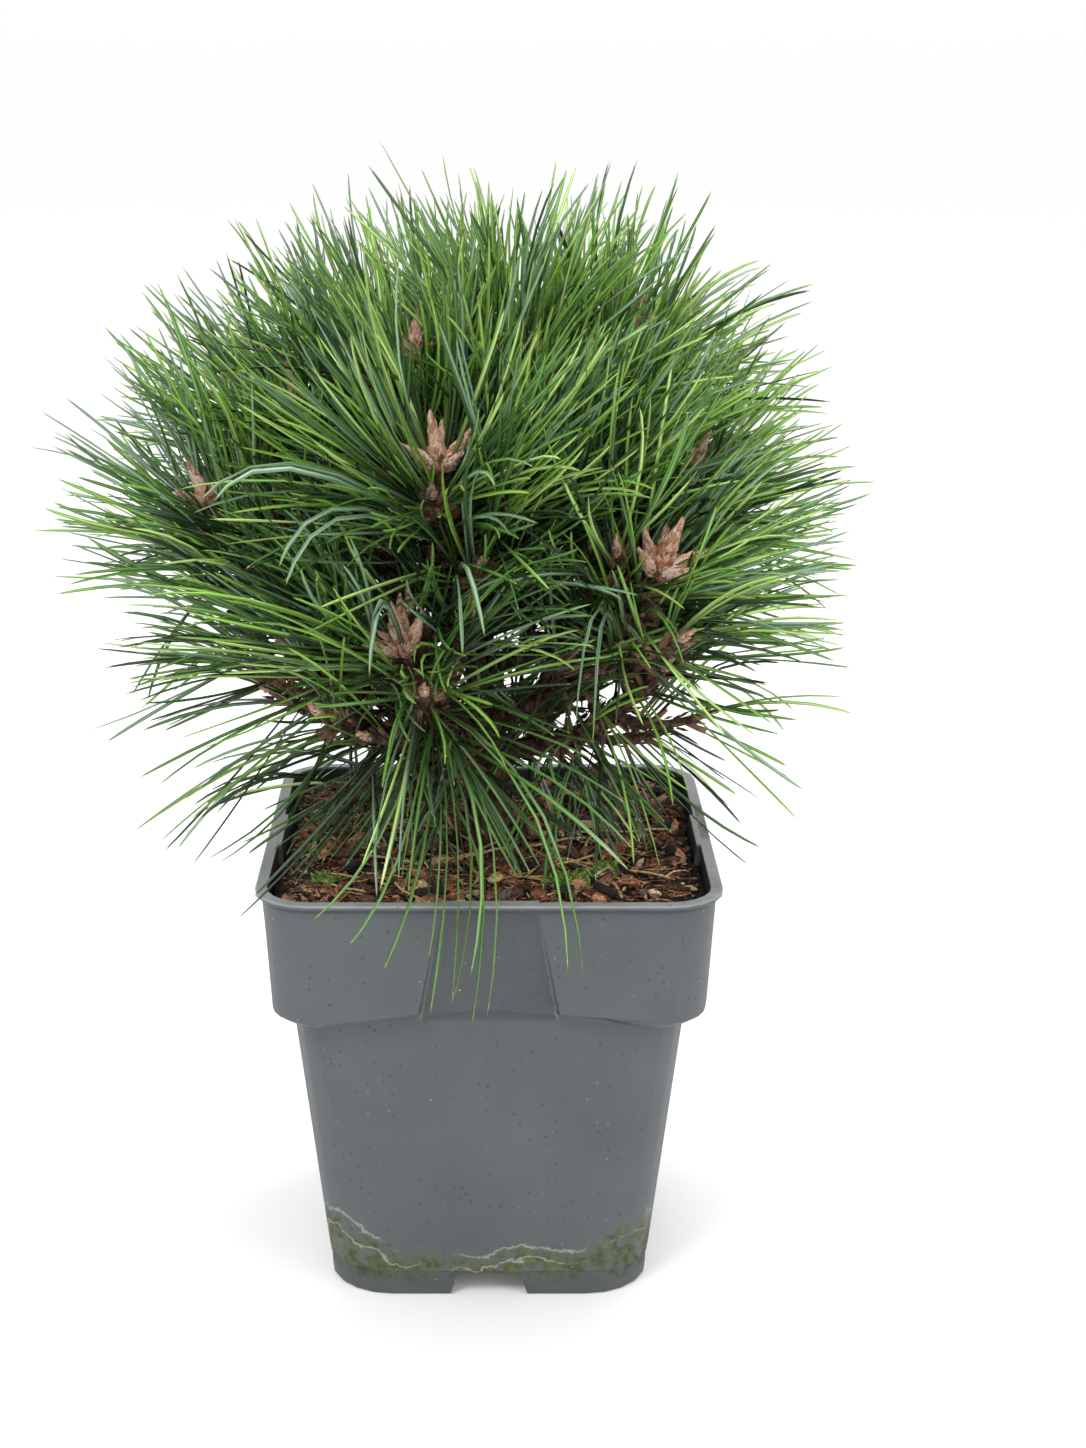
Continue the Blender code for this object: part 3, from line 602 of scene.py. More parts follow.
# Material name, dark tone, pale tone, share of the chips
CHIP_TONES = (
    ("chip_rust", (0.100, 0.030, 0.015), (0.420, 0.160, 0.085), 0.24),
    ("chip_orange", (0.240, 0.095, 0.040), (0.740, 0.380, 0.200), 0.18),
    ("chip_brown", (0.026, 0.013, 0.008), (0.160, 0.080, 0.044), 0.20),
    ("chip_black", (0.004, 0.003, 0.003), (0.022, 0.016, 0.012), 0.25),
    ("chip_tan", (0.360, 0.250, 0.110), (0.800, 0.640, 0.400), 0.09),
    ("chip_grey", (0.060, 0.045, 0.032), (0.240, 0.190, 0.140), 0.04),
)
EARTH = [earth_material(name, dark, pale, 900.0) for name, dark, pale, share in CHIP_TONES]
EARTH_SHARES = [share for name, dark, pale, share in CHIP_TONES]


def dealt(luck, shares):
    """A number drawn by its share."""
    return luck.choices(range(len(shares)), shares)[0]


def turned(yaw, tilt, towards):
    """A turn about the upright, then a tilt towards a compass angle."""
    lean = Matrix.Rotation(tilt, 3, Vector((math.cos(towards), math.sin(towards), 0.0)))
    return lean @ Matrix.Rotation(yaw, 3, "Z")


def tube_faces(sides, rings):
    """Faces of a closed tube of rings of points."""
    faces = [list(range(sides))[::-1]]
    for low in range(0, (rings - 1) * sides, sides):
        for j in range(sides):
            k = (j + 1) % sides
            faces.append([low + j, low + k, low + sides + k, low + sides + j])
    faces.append([(rings - 1) * sides + j for j in range(sides)])
    return faces


def slab(length, width, thick, luck, sides=CHIP_SIDES):
    """Points and faces of a flat angular chip, its upper edge worn narrower than its middle."""
    rings = []
    outline = []
    for i in range(sides):
        angle = 2.0 * math.pi * (i + luck.uniform(-0.3, 0.3)) / sides
        reach = luck.uniform(0.72, 1.12)
        outline.append((math.cos(angle) * length / 2.0 * reach, math.sin(angle) * width / 2.0 * reach))
    for height, spread in SLAB_RINGS:
        for x, y in outline:
            lift = thick * (height + luck.uniform(-0.12, 0.12))
            rings.append(Vector((x * spread, y * spread, lift)))
    return rings, tube_faces(sides, len(SLAB_RINGS))


def drop_on_soil(heap, shape, x, y, turn, lift, shade):
    """Lays one thing on the bed of soil at a place."""
    points, faces = shape
    spot = POT_CENTRE + Vector((x, y, soil_height(x, y) + lift))
    heap.add([spot + turn @ point for point in points], faces, shade)


def place_on_soil(luck, spare):
    """A random place on the bed, outside the trunk's foot."""
    while True:
        x, y = luck.uniform(-SOIL_HALF, SOIL_HALF), luck.uniform(-SOIL_HALF, SOIL_HALF)
        if inside_soil(x, y, spare) and math.hypot(x, y) > TRUNK_CLEAR:
            return x, y


luck = random.Random(CHIP_SEED)
chips = Heap()
for number in range(CHIP_COUNT):
    length = (CHIP_SHORTEST + CHIP_LONGER * luck.random() ** 3.2) * MM
    width = length * luck.uniform(*CHIP_WIDTHS)
    thick = min(CHIP_THICKEST, length * luck.uniform(*CHIP_DEPTHS))
    x, y = place_on_soil(luck, 1.0 * MM + length / 2.0)
    tilt = math.radians(luck.gauss(0.0, CHIP_TILT))
    turn = turned(luck.uniform(*ANY_WAY), tilt, luck.uniform(*ANY_WAY))
    shape = slab(length, width, thick, luck)
    lift = luck.uniform(-0.8, 2.6) * MM + thick * 0.3
    drop_on_soil(chips, shape, x, y, turn, lift, dealt(luck, EARTH_SHARES))
chips.piece("bark_chips", EARTH, 40.0)

# %% [markdown]
# Between the chips lie peat crumbs, stringy bark fibres and fallen needles. A fibre is a thin
# three-sided strand with a few bends, laid almost flat, and a crumb is a knob of eight faces.

# %% Add crumbs and fibres
CRUMB_COUNT = 3000
FIBRE_COUNT = 2300
FIBRE_STEPS = 6
FIBRE_BEND = 0.55
# Shares of the six tones of bark
CRUMB_SHARES = (0.3, 0.1, 0.3, 0.6, 0.04, 0.03)
FIBRE_SHARES = (0.34, 0.24, 0.16, 0.08, 0.13, 0.05)
KNOB = [(1, 0, 0), (0, 1, 0), (-1, 0, 0), (0, -1, 0), (0, 0, 1), (0, 0, -1)]
KNOB_FACES = [[0, 1, 4], [1, 2, 4], [2, 3, 4], [3, 0, 4], [1, 0, 5], [2, 1, 5], [3, 2, 5], [0, 3, 5]]
RISE = Vector((0.0, 0.0, 1.0))


def across(axis):
    """Two unit vectors square to an axis and to each other."""
    helper = RISE if abs(axis.z) < 0.9 else Vector((1.0, 0.0, 0.0))
    first = axis.cross(helper).normalized()
    return first, axis.cross(first).normalized()


def spoke(axis, around):
    """A unit vector square to an axis, at an angle round it."""
    first, second = across(axis)
    return first * math.cos(around) + second * math.sin(around)


def strand(points, radii, sides=3):
    """Points and faces of a closed strand along a line of points."""
    made = []
    for i, point in enumerate(points):
        run = (points[min(i + 1, len(points) - 1)] - points[max(i - 1, 0)]).normalized()
        made.extend(point + spoke(run, 2.0 * math.pi * j / sides) * radii[i] for j in range(sides))
    return made, tube_faces(sides, len(points))


def wandering(luck, length, bend, steps=FIBRE_STEPS):
    """A flat line of points that wanders sideways and lifts a little."""
    heading = luck.uniform(*ANY_WAY)
    turn = luck.uniform(-bend, bend)
    line = [Vector()]
    for i in range(steps):
        heading += turn + luck.uniform(-bend, bend) * 0.5
        rise = luck.uniform(-0.12, 0.16)
        line.append(line[-1] + Vector((math.cos(heading), math.sin(heading), rise)) * length / steps)
    return [point - line[steps // 2] for point in line]


crumbs = Heap()
for number in range(CRUMB_COUNT):
    size = luck.uniform(0.35, 1.1) * MM
    x, y = place_on_soil(luck, 1.5 * MM)
    stretch = Vector((luck.uniform(0.6, 1.5), luck.uniform(0.6, 1.5), luck.uniform(0.5, 1.0))) * size
    points = [Vector(corner) * stretch for corner in KNOB]
    turn = turned(luck.uniform(*ANY_WAY), luck.uniform(-0.6, 0.6), luck.uniform(*ANY_WAY))
    shade = dealt(luck, CRUMB_SHARES)
    drop_on_soil(crumbs, (points, KNOB_FACES), x, y, turn, luck.uniform(0.0, 1.2) * MM, shade)
crumbs.piece("peat_crumbs", EARTH)

fibres = Heap()
upright = Matrix.Identity(3)
for number in range(FIBRE_COUNT):
    length = (3.0 + 14.0 * luck.random() ** 1.6) * MM
    x, y = place_on_soil(luck, 2.0 * MM + length / 2.0)
    line = wandering(luck, length, FIBRE_BEND)
    radius = (0.12 + 0.34 * luck.random() ** 2) * MM
    shape = strand(line, [radius * (1.0 - 0.1 * i) for i in range(len(line))])
    shade = dealt(luck, FIBRE_SHARES)
    drop_on_soil(fibres, shape, x, y, upright, luck.uniform(0.6, 3.0) * MM, shade)
fibres.piece("bark_fibres", EARTH, 60.0)

# %% [markdown]
# A few things on the bed catch the eye: tufts of moss, a pale stick, a stub of wood against the back
# wall, some chips, grains of pumice and last year's needles. Each is one of the shapes above. The moss
# and the larger pieces are laid where the picture shows them, because a random draw would lose them,
# and the pumice and old needles are scattered at random.

# %% Lay the moss, sticks and old needles
MOSS = earth_material("moss", (0.060, 0.130, 0.018), (0.260, 0.420, 0.070), 900.0)
STRAW = earth_material("straw", (0.360, 0.230, 0.070), (0.700, 0.520, 0.230), 500.0)
PUMICE = earth_material("pumice", (0.420, 0.400, 0.360), (0.760, 0.740, 0.700), 900.0)
FINDS = [MOSS, STRAW, PUMICE, EARTH[2], EARTH[4]]
# Moss: place, spread and number of its leaves
MOSS_TUFTS = (
    ((25.0, -40.0), 6.5, 190),
    ((36.0, -30.0), 4.5, 90),
    ((-36.0, 18.0), 5.5, 110),
    ((-12.0, 44.0), 6.0, 100),
    ((-50.0, -38.0), 4.0, 60),
)
MOSS_RADII = [0.55 * MM, 0.75 * MM, 0.08 * MM]
# Slabs: place, length, width, thickness, turn in degrees, tilt, lift and finish
SLABS = (
    ((33.0, 6.0), 15.0, 2.6, 1.8, -12.0, 4.0, 4.4, 4),
    ((2.0, -45.0), 10.0, 4.6, 1.6, 60.0, 14.0, 4.6, 1),
    ((37.0, 44.0), 19.0, 10.0, 9.0, 65.0, -34.0, 7.7, 3),
    ((-44.0, -20.0), 11.0, 5.0, 2.6, 30.0, 14.0, 4.6, 3),
    ((-30.0, 52.0), 14.0, 4.6, 2.6, 10.0, 8.0, 4.6, 4),
)
SLAB_SIDES = 9
PUMICE_COUNT = 26
OLD_NEEDLES = 36
OLD_NEEDLE_STEPS, OLD_NEEDLE_BEND = 9, 0.12
OLD_NEEDLE_RADII = [0.42 * MM] * OLD_NEEDLE_STEPS + [0.1 * MM]

finds = Heap()
for (x, y), spread, leaves in MOSS_TUFTS:
    for number in range(leaves):
        where = [(v + luck.gauss(0.0, spread / 2.2)) * MM for v in (x, y)]
        lean = Vector((luck.uniform(-1.2, 1.2), luck.uniform(-1.2, 1.2), luck.uniform(0.6, 1.6))) * MM
        line = [-RISE * MM, lean * 0.6, lean * luck.uniform(1.2, 2.0)]
        lift = luck.uniform(1.2, 2.4) * MM
        drop_on_soil(finds, strand(line, MOSS_RADII, 4), *where, upright, lift, 0)
for (x, y), length, width, thick, yaw, tilt, lift, shade in SLABS:
    turn = turned(math.radians(yaw), math.radians(tilt), math.radians(yaw))
    shape = slab(length * MM, width * MM, thick * MM, luck, SLAB_SIDES)
    drop_on_soil(finds, shape, x * MM, y * MM, turn, lift * MM, shade)
for number in range(PUMICE_COUNT):
    x, y = place_on_soil(luck, 2.0 * MM)
    size = luck.uniform(0.5, 1.1) * MM
    points = [Vector(corner) * size * luck.uniform(0.8, 1.2) for corner in KNOB]
    drop_on_soil(finds, (points, KNOB_FACES), x, y, upright, 1.6 * MM, 2)
for number in range(OLD_NEEDLES):
    length = luck.uniform(22.0, 52.0) * MM
    x, y = place_on_soil(luck, 2.0 * MM + length / 2.0)
    line = wandering(luck, length, OLD_NEEDLE_BEND, OLD_NEEDLE_STEPS)
    shape = strand(line, OLD_NEEDLE_RADII, 4)
    drop_on_soil(finds, shape, x, y, upright, luck.uniform(2.0, 3.2) * MM, luck.choice((1, 1, 4)))
finds.piece("finds_on_soil", FINDS, 45.0)

# %% [markdown]
# The plant's courses are worked out here by the rule that made the solids: a trunk that leans and
# bows a little, and shoots that leave it one above another and turn up to their buds.

# %% Lay out the trunk and the shoots
SOIL_Z = 131.5 * MM
TRUNK_FOOT_Z = SOIL_Z + 0.35 * MM
TRUNK_HEIGHTS = (0.0, 0.045, 0.12, 0.32, 0.55, 0.78, 1.0)
TRUNK_RADII = (9.6, 7.6, 6.6, 6.0, 5.2, 4.2, 3.2)
TRUNK_TOP = Vector((-13.0, 12.0, 232.0)) * MM
TRUNK_BOW = Vector((5.0, -2.0, 0.0)) * MM
# Shoots: name, compass angle, reach and height of the bud, height of the fork, size of the bud
# cluster and length of the needles, in millimetres and shares
SHOOTS = (
    ("front_high", 247.5, 38.0, 262.0, 197.0, 1.0, 1.05),
    ("front_left", 243.0, 56.0, 211.0, 168.0, 1.0, 1.28),
    ("front_right", 320.0, 65.0, 232.0, 176.0, 1.1, 1.0),
    ("left", 188.0, 86.0, 247.0, 174.0, 0.8, 1.0),
    ("left_high", 161.0, 62.0, 270.0, 207.0, 0.9, 0.98),
    ("right", 8.0, 64.0, 253.0, 190.0, 0.8, 0.95),
    ("right_high", 36.0, 57.0, 292.0, 213.0, 0.9, 1.05),
    ("middle_high", 62.0, 20.0, 295.0, 222.0, 0.8, 1.05),
    ("inner_right", 335.0, 28.0, 254.0, 203.5, 0.7, 1.0),
    ("right_low", 343.0, 58.0, 203.0, 163.0, 0.7, 0.9),
    ("left_low", 210.0, 64.0, 208.0, 160.0, 0.6, 0.95),
    ("back", 98.0, 60.0, 256.0, 196.0, 0.8, 1.0),
    ("back_left", 136.0, 74.0, 222.0, 166.0, 0.8, 1.0),
    ("back_right", 52.0, 74.0, 222.0, 170.0, 0.8, 1.0),
    ("top", 140.0, 30.0, 286.0, 232.0, 0.9, 1.05),
)
BOUGH_RADIUS = 3.6 * MM
TWIG_RADIUS = 2.6 * MM
TIP_RADIUS = 2.2 * MM
COURSE_STEPS = 48
BARE_SHARE = 0.40
LEAVE_OUT, LEAVE_UP = 0.55, 0.12
ARRIVE_OUT, ARRIVE_UP = 0.18, 0.5


def blend(low, high, share):
    return low + (high - low) * share


def along_table(rows, share):
    """The value at a share, between the rows of a table of shares and values."""
    for (low, a), (high, b) in zip(rows, rows[1:]):
        if share <= high:
            return blend(a, b, (share - low) / (high - low))
    return rows[-1][1]


def trunk_point(share):
    """A point on the trunk's axis, share 0 at the soil and 1 at its tip."""
    foot = Vector((0.0, 0.0, TRUNK_FOOT_Z))
    bow = TRUNK_BOW * math.sin(math.pi * share)
    return POT_CENTRE + foot.lerp(TRUNK_TOP, share) + bow


def trunk_radius(share):
    return along_table(list(zip(TRUNK_HEIGHTS, TRUNK_RADII)), share) * MM


class Shoot:
    """One shoot: the whole course from its fork to its bud."""

    def __init__(self, index, row):
        self.name, compass, reach, height, fork_height, self.bud_size, self.needle_size = row
        self.index = index
        self.leader = self.name == "top"
        angle = math.radians(compass)
        outward = Vector((math.cos(angle), math.sin(angle), 0.0))
        self.bud = POT_CENTRE + outward * reach * MM + RISE * height * MM
        share = (fork_height * MM - SOIL_Z) / (TRUNK_TOP.z - SOIL_Z)
        fork = trunk_point(min(1.0, share))
        run = self.bud - fork
        level = Vector((run.x, run.y, 0.0))
        leave = fork + level * LEAVE_OUT + RISE * run.z * LEAVE_UP
        if self.leader:
            leave = fork + (trunk_point(1.01) - trunk_point(0.99)).normalized() * run.length / 2.0
        arrive = self.bud - (level * ARRIVE_OUT + RISE * run.z * ARRIVE_UP)
        course = interpolate_bezier(fork, leave, arrive, self.bud, COURSE_STEPS + 1)
        split = 0 if self.leader else round(BARE_SHARE * COURSE_STEPS)
        self.course, self.bare, self.twig = course, course[: split + 1], course[split:]


def point_on(line, share):
    """(point, direction) on a line of points, share 0 at its foot and 1 at its tip."""
    place = share * (len(line) - 1)
    i = min(int(place), len(line) - 2)
    low, high = line[i], line[i + 1]
    return low.lerp(high, place - i), (high - low).normalized()


shoots = [Shoot(i, row) for i, row in enumerate(SHOOTS)]
print("shoots:", [shoot.name for shoot in shoots])

# %% [markdown]
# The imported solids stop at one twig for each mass. A real shoot forks again: short side twigs leave
# it in the same golden-angle spiral and turn to grow beside it. The crown they fill is a full dome,
# flatter on top than a ball, and no side twig comes near its skin.

# %% Fork the side twigs
GOLDEN_ANGLE = math.radians(137.508)
CROWN_CENTRE = POT_CENTRE + Vector((-11.0, 0.0, 205.0)) * MM
CROWN_HALF = Vector((129.0, 124.0, 143.0)) * MM
CROWN_BELOW = 90.0 * MM
CROWN_POWER = 2.8
# Side twigs of a shoot: where they fork, as a share of its twig, and their length
SIDE_TWIGS = ((0.10, 36.0), (0.24, 34.0), (0.38, 30.0), (0.52, 26.0), (0.68, 21.0))
# Spurs on the bare part of a shoot, in the same terms
SPURS = ((0.35, 26.0), (0.62, 30.0), (0.88, 28.0))
SIDE_LEAN = 60.0
SIDE_STEPS = 12
SIDE_RADIUS = 1.7 * MM
SHORTER_TRIES = (1.0, 0.8, 0.6, 0.45)
TWIGS_WITHIN = 0.66  # share of the dome
TWIG_SEED = 40


def crown_share(point):
    """0 at the middle of the crown and 1 on its dome."""
    gap = point - CROWN_CENTRE
    half = CROWN_HALF if gap.z > 0.0 else Vector((CROWN_HALF.x, CROWN_HALF.y, CROWN_BELOW))
    total = sum((abs(g) / h) ** CROWN_POWER for g, h in zip(gap, half))
    return total ** (1.0 / CROWN_POWER)


def side_twig(shoot, line, number, share, length, luck):
    """The course of one side twig of a line, as a line of points."""
    foot, axis = point_on(line, share)
    out = spoke(axis, number * GOLDEN_ANGLE + shoot.index * 1.3 + luck.uniform(-0.4, 0.4))
    lean = math.radians(SIDE_LEAN + luck.uniform(-10.0, 10.0))
    leave = axis * math.cos(lean) + out * math.sin(lean)
    size = length * luck.uniform(0.85, 1.15) * MM
    for shorter in SHORTER_TRIES:
        knee = foot + leave * size * shorter * 0.5
        end = knee + (leave * 0.45 + axis * 0.4 + RISE * 0.25).normalized() * size * shorter * 0.55
        if crown_share(end) < TWIGS_WITHIN:
            break
    return interpolate_bezier(foot, foot.lerp(knee, 0.7), knee.lerp(end, 0.3), end, SIDE_STEPS + 1)


for shoot in shoots:
    luck = random.Random(TWIG_SEED + shoot.index)
    shoot.side_twigs = [side_twig(shoot, shoot.twig, i, *row, luck) for i, row in enumerate(SIDE_TWIGS)]
    rows = () if shoot.leader else SPURS
    shoot.spurs = [side_twig(shoot, shoot.bare, i + 2, *row, luck) for i, row in enumerate(rows)]
print("side twigs:", sum(len(shoot.side_twigs) + len(shoot.spurs) for shoot in shoots))

# %% [markdown]
# Young pine bark is rust brown and scaly: plates on the trunk, and on the boughs the raised bases of
# needles that fell. Each limb is drawn as a curve that carries its radius, turned into a mesh, and
# given relief with two Displace modifiers. The plates' texture is stretched along the limb.

# %% Grow the bark of trunk and boughs
BARK_SIDES = 7
TRUNK_STEPS = 90
PLATE_WIDE, PLATE_DEEP, PLATE_DEEP_ON_BOUGH = 4.2 * MM, 1.5 * MM, 0.7 * MM
CRACK_WIDE, CRACK_DEEP = 1.6 * MM, 0.5 * MM
BARK_DARK = (0.050, 0.026, 0.016)
BARK_RUST = (0.190, 0.090, 0.050)
BARK_GREY = (0.200, 0.150, 0.115)


def bark_material():
    made, shader = plain_material("bark", BARK_RUST, 0.85)
    place = object_place(made, scale=(1.0, 1.0, 0.45))
    near, number = cells(place, 520.0)
    rough = grain(place, 1400.0, 5.0, 0.7)
    colour = near.fade(0.25, 0.75).mix(number.mix(BARK_RUST, BARK_GREY), BARK_DARK)
    laid(rough, (0.4, BARK_DARK), colour).into(shader, "Base Color")
    rough.fade(-0.8, 0.9).into(shader, "Roughness")
    bumped(shader, rough - near, 0.5 * MM)
    return made


def relief_texture(name, kind, size):
    made = bpy.data.textures.new(name, kind)
    made.noise_scale = size
    return made


BARK = bark_material()
PLATES = relief_texture("bark_plates", "VORONOI", PLATE_WIDE)
CRACKS = relief_texture("bark_cracks", "CLOUDS", CRACK_WIDE)
stretch = bpy.data.objects.new("bark_stretch", None)
bpy.context.scene.collection.objects.link(stretch)
stretch.scale = (1.0, 1.0, 2.0)


def limb(name, points, radii, plate_deep, replaced):
    """A limb along a line of points, with its bark in relief, in place of a CAD node."""
    curve = bpy.data.curves.new(name, "CURVE")
    curve.dimensions = "3D"
    curve.bevel_depth = 1.0
    curve.bevel_resolution = BARK_SIDES
    curve.use_fill_caps = True
    line = curve.splines.new("POLY")
    line.points.add(len(points) - 1)
    for spot, point, radius in zip(line.points, points, radii):
        spot.co = (*point, 1.0)
        spot.radius = radius
    made = bpy.data.objects.new(name, curve)
    bpy.context.scene.collection.objects.link(made)
    bpy.ops.object.select_all(action="DESELECT")
    made.select_set(True)
    bpy.context.view_layer.objects.active = made
    bpy.ops.object.convert(target="MESH")
    made = bpy.context.active_object
    made.name = made.data.name = name
    make_whole(made)
    bpy.ops.object.mode_set(mode="OBJECT")
    shape_with(made, "SUBSURF", subdivision_type="SIMPLE", levels=1, render_levels=1)
    for texture, strength, middle in ((PLATES, -plate_deep, 0.35), (CRACKS, CRACK_DEEP, 0.5)):
        where = {"texture_coords": "OBJECT", "texture_coords_object": stretch}
        shape_with(made, "DISPLACE", texture=texture, strength=strength, mid_level=middle, **where)
    made.data.shade_smooth()
    make_piece(made, [BARK], replaced)


shares = [i / TRUNK_STEPS for i in range(TRUNK_STEPS + 1)]
limb("trunk_bark", [trunk_point(s) for s in shares], [trunk_radius(s) for s in shares], PLATE_DEEP, "trunk")
for shoot in shoots:
    if not shoot.leader:
        fine = [shoot.bare[0]]
        for a, b in zip(shoot.bare, shoot.bare[1:]):
            fine.extend([a.lerp(b, 0.5), b])
        radii = [blend(BOUGH_RADIUS, TWIG_RADIUS, i / (len(fine) - 1)) for i in range(len(fine))]
        limb("bark_of_" + shoot.name, fine, radii, PLATE_DEEP_ON_BOUGH, "bough_" + shoot.name)
bpy.data.objects.remove(stretch)
print("limbs:", len(shoots))

# %% [markdown]
# The leafy part of each shoot is a thin green-brown twig. It is closed and round, and thousands of
# small papery scales and needle sheaths will cover it, so a plain strand of eight sides is enough.

# %% Grow the twigs
TWIG_SIDES = 8
SIDE_TWIG_SIDES = 6
twigs = Heap()
for shoot in shoots:
    radii = [blend(TWIG_RADIUS, TIP_RADIUS, i / (len(shoot.twig) - 1)) for i in range(len(shoot.twig))]
    twigs.add(*strand(shoot.twig, radii, TWIG_SIDES), 0)
    for line in shoot.side_twigs + shoot.spurs:
        radii = [SIDE_RADIUS * (1.0 - 0.25 * i / SIDE_STEPS) for i in range(len(line))]
        twigs.add(*strand(line, radii, SIDE_TWIG_SIDES), 0)
twigs.piece("twigs", [BARK], 60.0)

# %% [markdown]
# A winter bud of a pine is a pointed spindle of overlapping scales, pinkish brown with paler, frayed
# edges. The spindle is a closed strand, and its scales follow the same golden-angle spiral as the
# needles. Six buds make a cluster: one in the middle and the others leaning out.

# %% Shape the winter buds
BUD_LENGTH, BUD_RADIUS = 17.5 * MM, 2.45 * MM
SIDE_BUD_SIZE = 0.42
# A bud's width along it: share of its length, and share of its radius
BUD_SHAPE = (
    (-0.12, 0.3), (0.0, 0.72), (0.12, 0.95), (0.3, 1.0), (0.5, 0.8), (0.68, 0.52), (0.85, 0.25), (1.0, 0.04),
)
BUD_SIDES = 9
BUD_SCALES = 60
BUD_LEANS = (0.0, 34.0, 46.0, 54.0, 40.0, 50.0)
BUD_SINK = 1.2 * MM
BUD_SEED = 300


def bud_material(name, dark, pale):
    made, shader = plain_material(name, dark, 0.6)
    frayed = grain(object_place(made), 1500.0, 5.0, 0.75)
    frayed.fade(0.42, 0.66).mix(dark, pale).into(shader, "Base Color")
    frayed.fade(-0.6, 1.1).into(shader, "Roughness")
    bumped(shader, frayed, 0.25 * MM)
    return made


BUD_TONES = [
    bud_material("bud_pink", (0.620, 0.330, 0.215), (0.900, 0.660, 0.530)),
    bud_material("bud_rust", (0.310, 0.130, 0.074), (0.700, 0.390, 0.250)),
    bud_material("bud_pale", (0.680, 0.470, 0.370), (0.930, 0.850, 0.780)),
    bud_material("scale_brown", (0.090, 0.042, 0.024), (0.250, 0.135, 0.082)),
    bud_material("scale_dark", (0.034, 0.018, 0.012), (0.110, 0.058, 0.036)),
]


def scale_leaf(foot, up, out, length, width, lift):
    """A pointed scale with a ridge: closed, of ten faces, its tip lifted off the surface."""
    side = up.cross(out).normalized() * width
    waist = foot + up * length * 0.5 + out * lift * 0.4
    rim = [foot - side * 0.4, foot + side * 0.4, waist + side * 0.5]
    rim += [foot + up * length + out * lift, waist - side * 0.5]
    middle = foot + up * length * 0.45
    points = rim + [middle + out * (lift * 0.5 + width * 0.25), middle - out * width * 0.1]
    faces = [[i, (i + 1) % 5, 5] for i in range(5)] + [[(i + 1) % 5, i, 6] for i in range(5)]
    return points, faces


def grow_bud(heap, foot, axis, length, radius, luck):
    """One bud: a spindle bowed a little, in overlapping scales."""
    first, second = across(axis)
    bow = (first * luck.uniform(-1.0, 1.0) + second * luck.uniform(-1.0, 1.0)) * length * 0.08
    line = [foot + axis * length * s + bow * s * s for s, w in BUD_SHAPE]
    heap.add(*strand(line, [radius * w for s, w in BUD_SHAPE], BUD_SIDES), 1)
    for i in range(BUD_SCALES):
        share = 0.02 + 0.86 * i / BUD_SCALES
        out = spoke(axis, i * GOLDEN_ANGLE + luck.uniform(-0.15, 0.15))
        wide = along_table(BUD_SHAPE, share)
        seat = foot + axis * length * share + bow * share * share + out * radius * wide * 0.9
        narrowing = (along_table(BUD_SHAPE, share + 0.1) - wide) * radius / (0.1 * length)
        up = (axis + out * narrowing).normalized()
        size = length * luck.uniform(0.17, 0.25)
        shape = scale_leaf(seat, up, out, size, radius * (0.3 + 0.6 * wide), luck.uniform(0.2, 0.9) * MM)
        heap.add(*shape, dealt(luck, (0.46, 0.26, 0.28)))


buds = Heap()
for shoot in shoots:
    luck = random.Random(BUD_SEED + shoot.index)
    tip, axis = point_on(shoot.twig, 1.0)
    turn = luck.uniform(*ANY_WAY)
    for i, lean in enumerate(BUD_LEANS):
        around = turn + 2.0 * math.pi * i / (len(BUD_LEANS) - 1) + luck.uniform(-0.25, 0.25)
        out = spoke(axis, around)
        angle = math.radians(lean + luck.uniform(-6.0, 6.0))
        course = (axis * math.cos(angle) + out * math.sin(angle)).normalized()
        size = shoot.bud_size * (1.0 if i == 0 else luck.uniform(0.68, 0.95))
        seat = tip - axis * BUD_SINK + (out * BUD_SINK if lean else Vector())
        grow_bud(buds, seat, course, BUD_LENGTH * size, BUD_RADIUS * size, luck)
    for line in shoot.side_twigs:
        tip, axis = point_on(line, 1.0)
        size = SIDE_BUD_SIZE * luck.uniform(0.8, 1.25)
        grow_bud(buds, tip - axis * MM, axis, BUD_LENGTH * size, BUD_RADIUS * size, luck)
buds.piece("winter_buds", BUD_TONES, 50.0)

# %% [markdown]
# Every needle that falls leaves its small papery scale on the twig, so bare limbs look shaggy. The
# same pointed scale that clothes a bud serves here, broader on the trunk, where it is a flake of bark.

# %% Cover the limbs in papery scales
SCALES_ON_SHOOT, SCALE_ON_SHOOT = 170, 4.2 * MM
SCALES_ON_SIDE_TWIG, SCALE_ON_SIDE_TWIG = 26, 3.2 * MM
FLAKES_ON_TRUNK, FLAKE_ON_TRUNK = 420, 5.0 * MM
SCALE_SHARES = (0.45, 0.40, 0.15)
SCALE_SEED = 500


def clothe(heap, line, count, radius_at, size, luck):
    """Scales in a spiral along a line of points, on a round limb."""
    for i in range(count):
        share = (i + luck.random()) / count
        foot, axis = point_on(line, share)
        out = spoke(axis, i * GOLDEN_ANGLE + luck.uniform(-0.3, 0.3))
        slant = (axis + out * luck.uniform(0.1, 0.55)).normalized()
        long = size * luck.uniform(0.7, 1.4)
        shape = scale_leaf(foot + out * radius_at(share) * 0.92, slant, out, long, long * 0.55, long * 0.12)
        heap.add(*shape, dealt(luck, SCALE_SHARES))


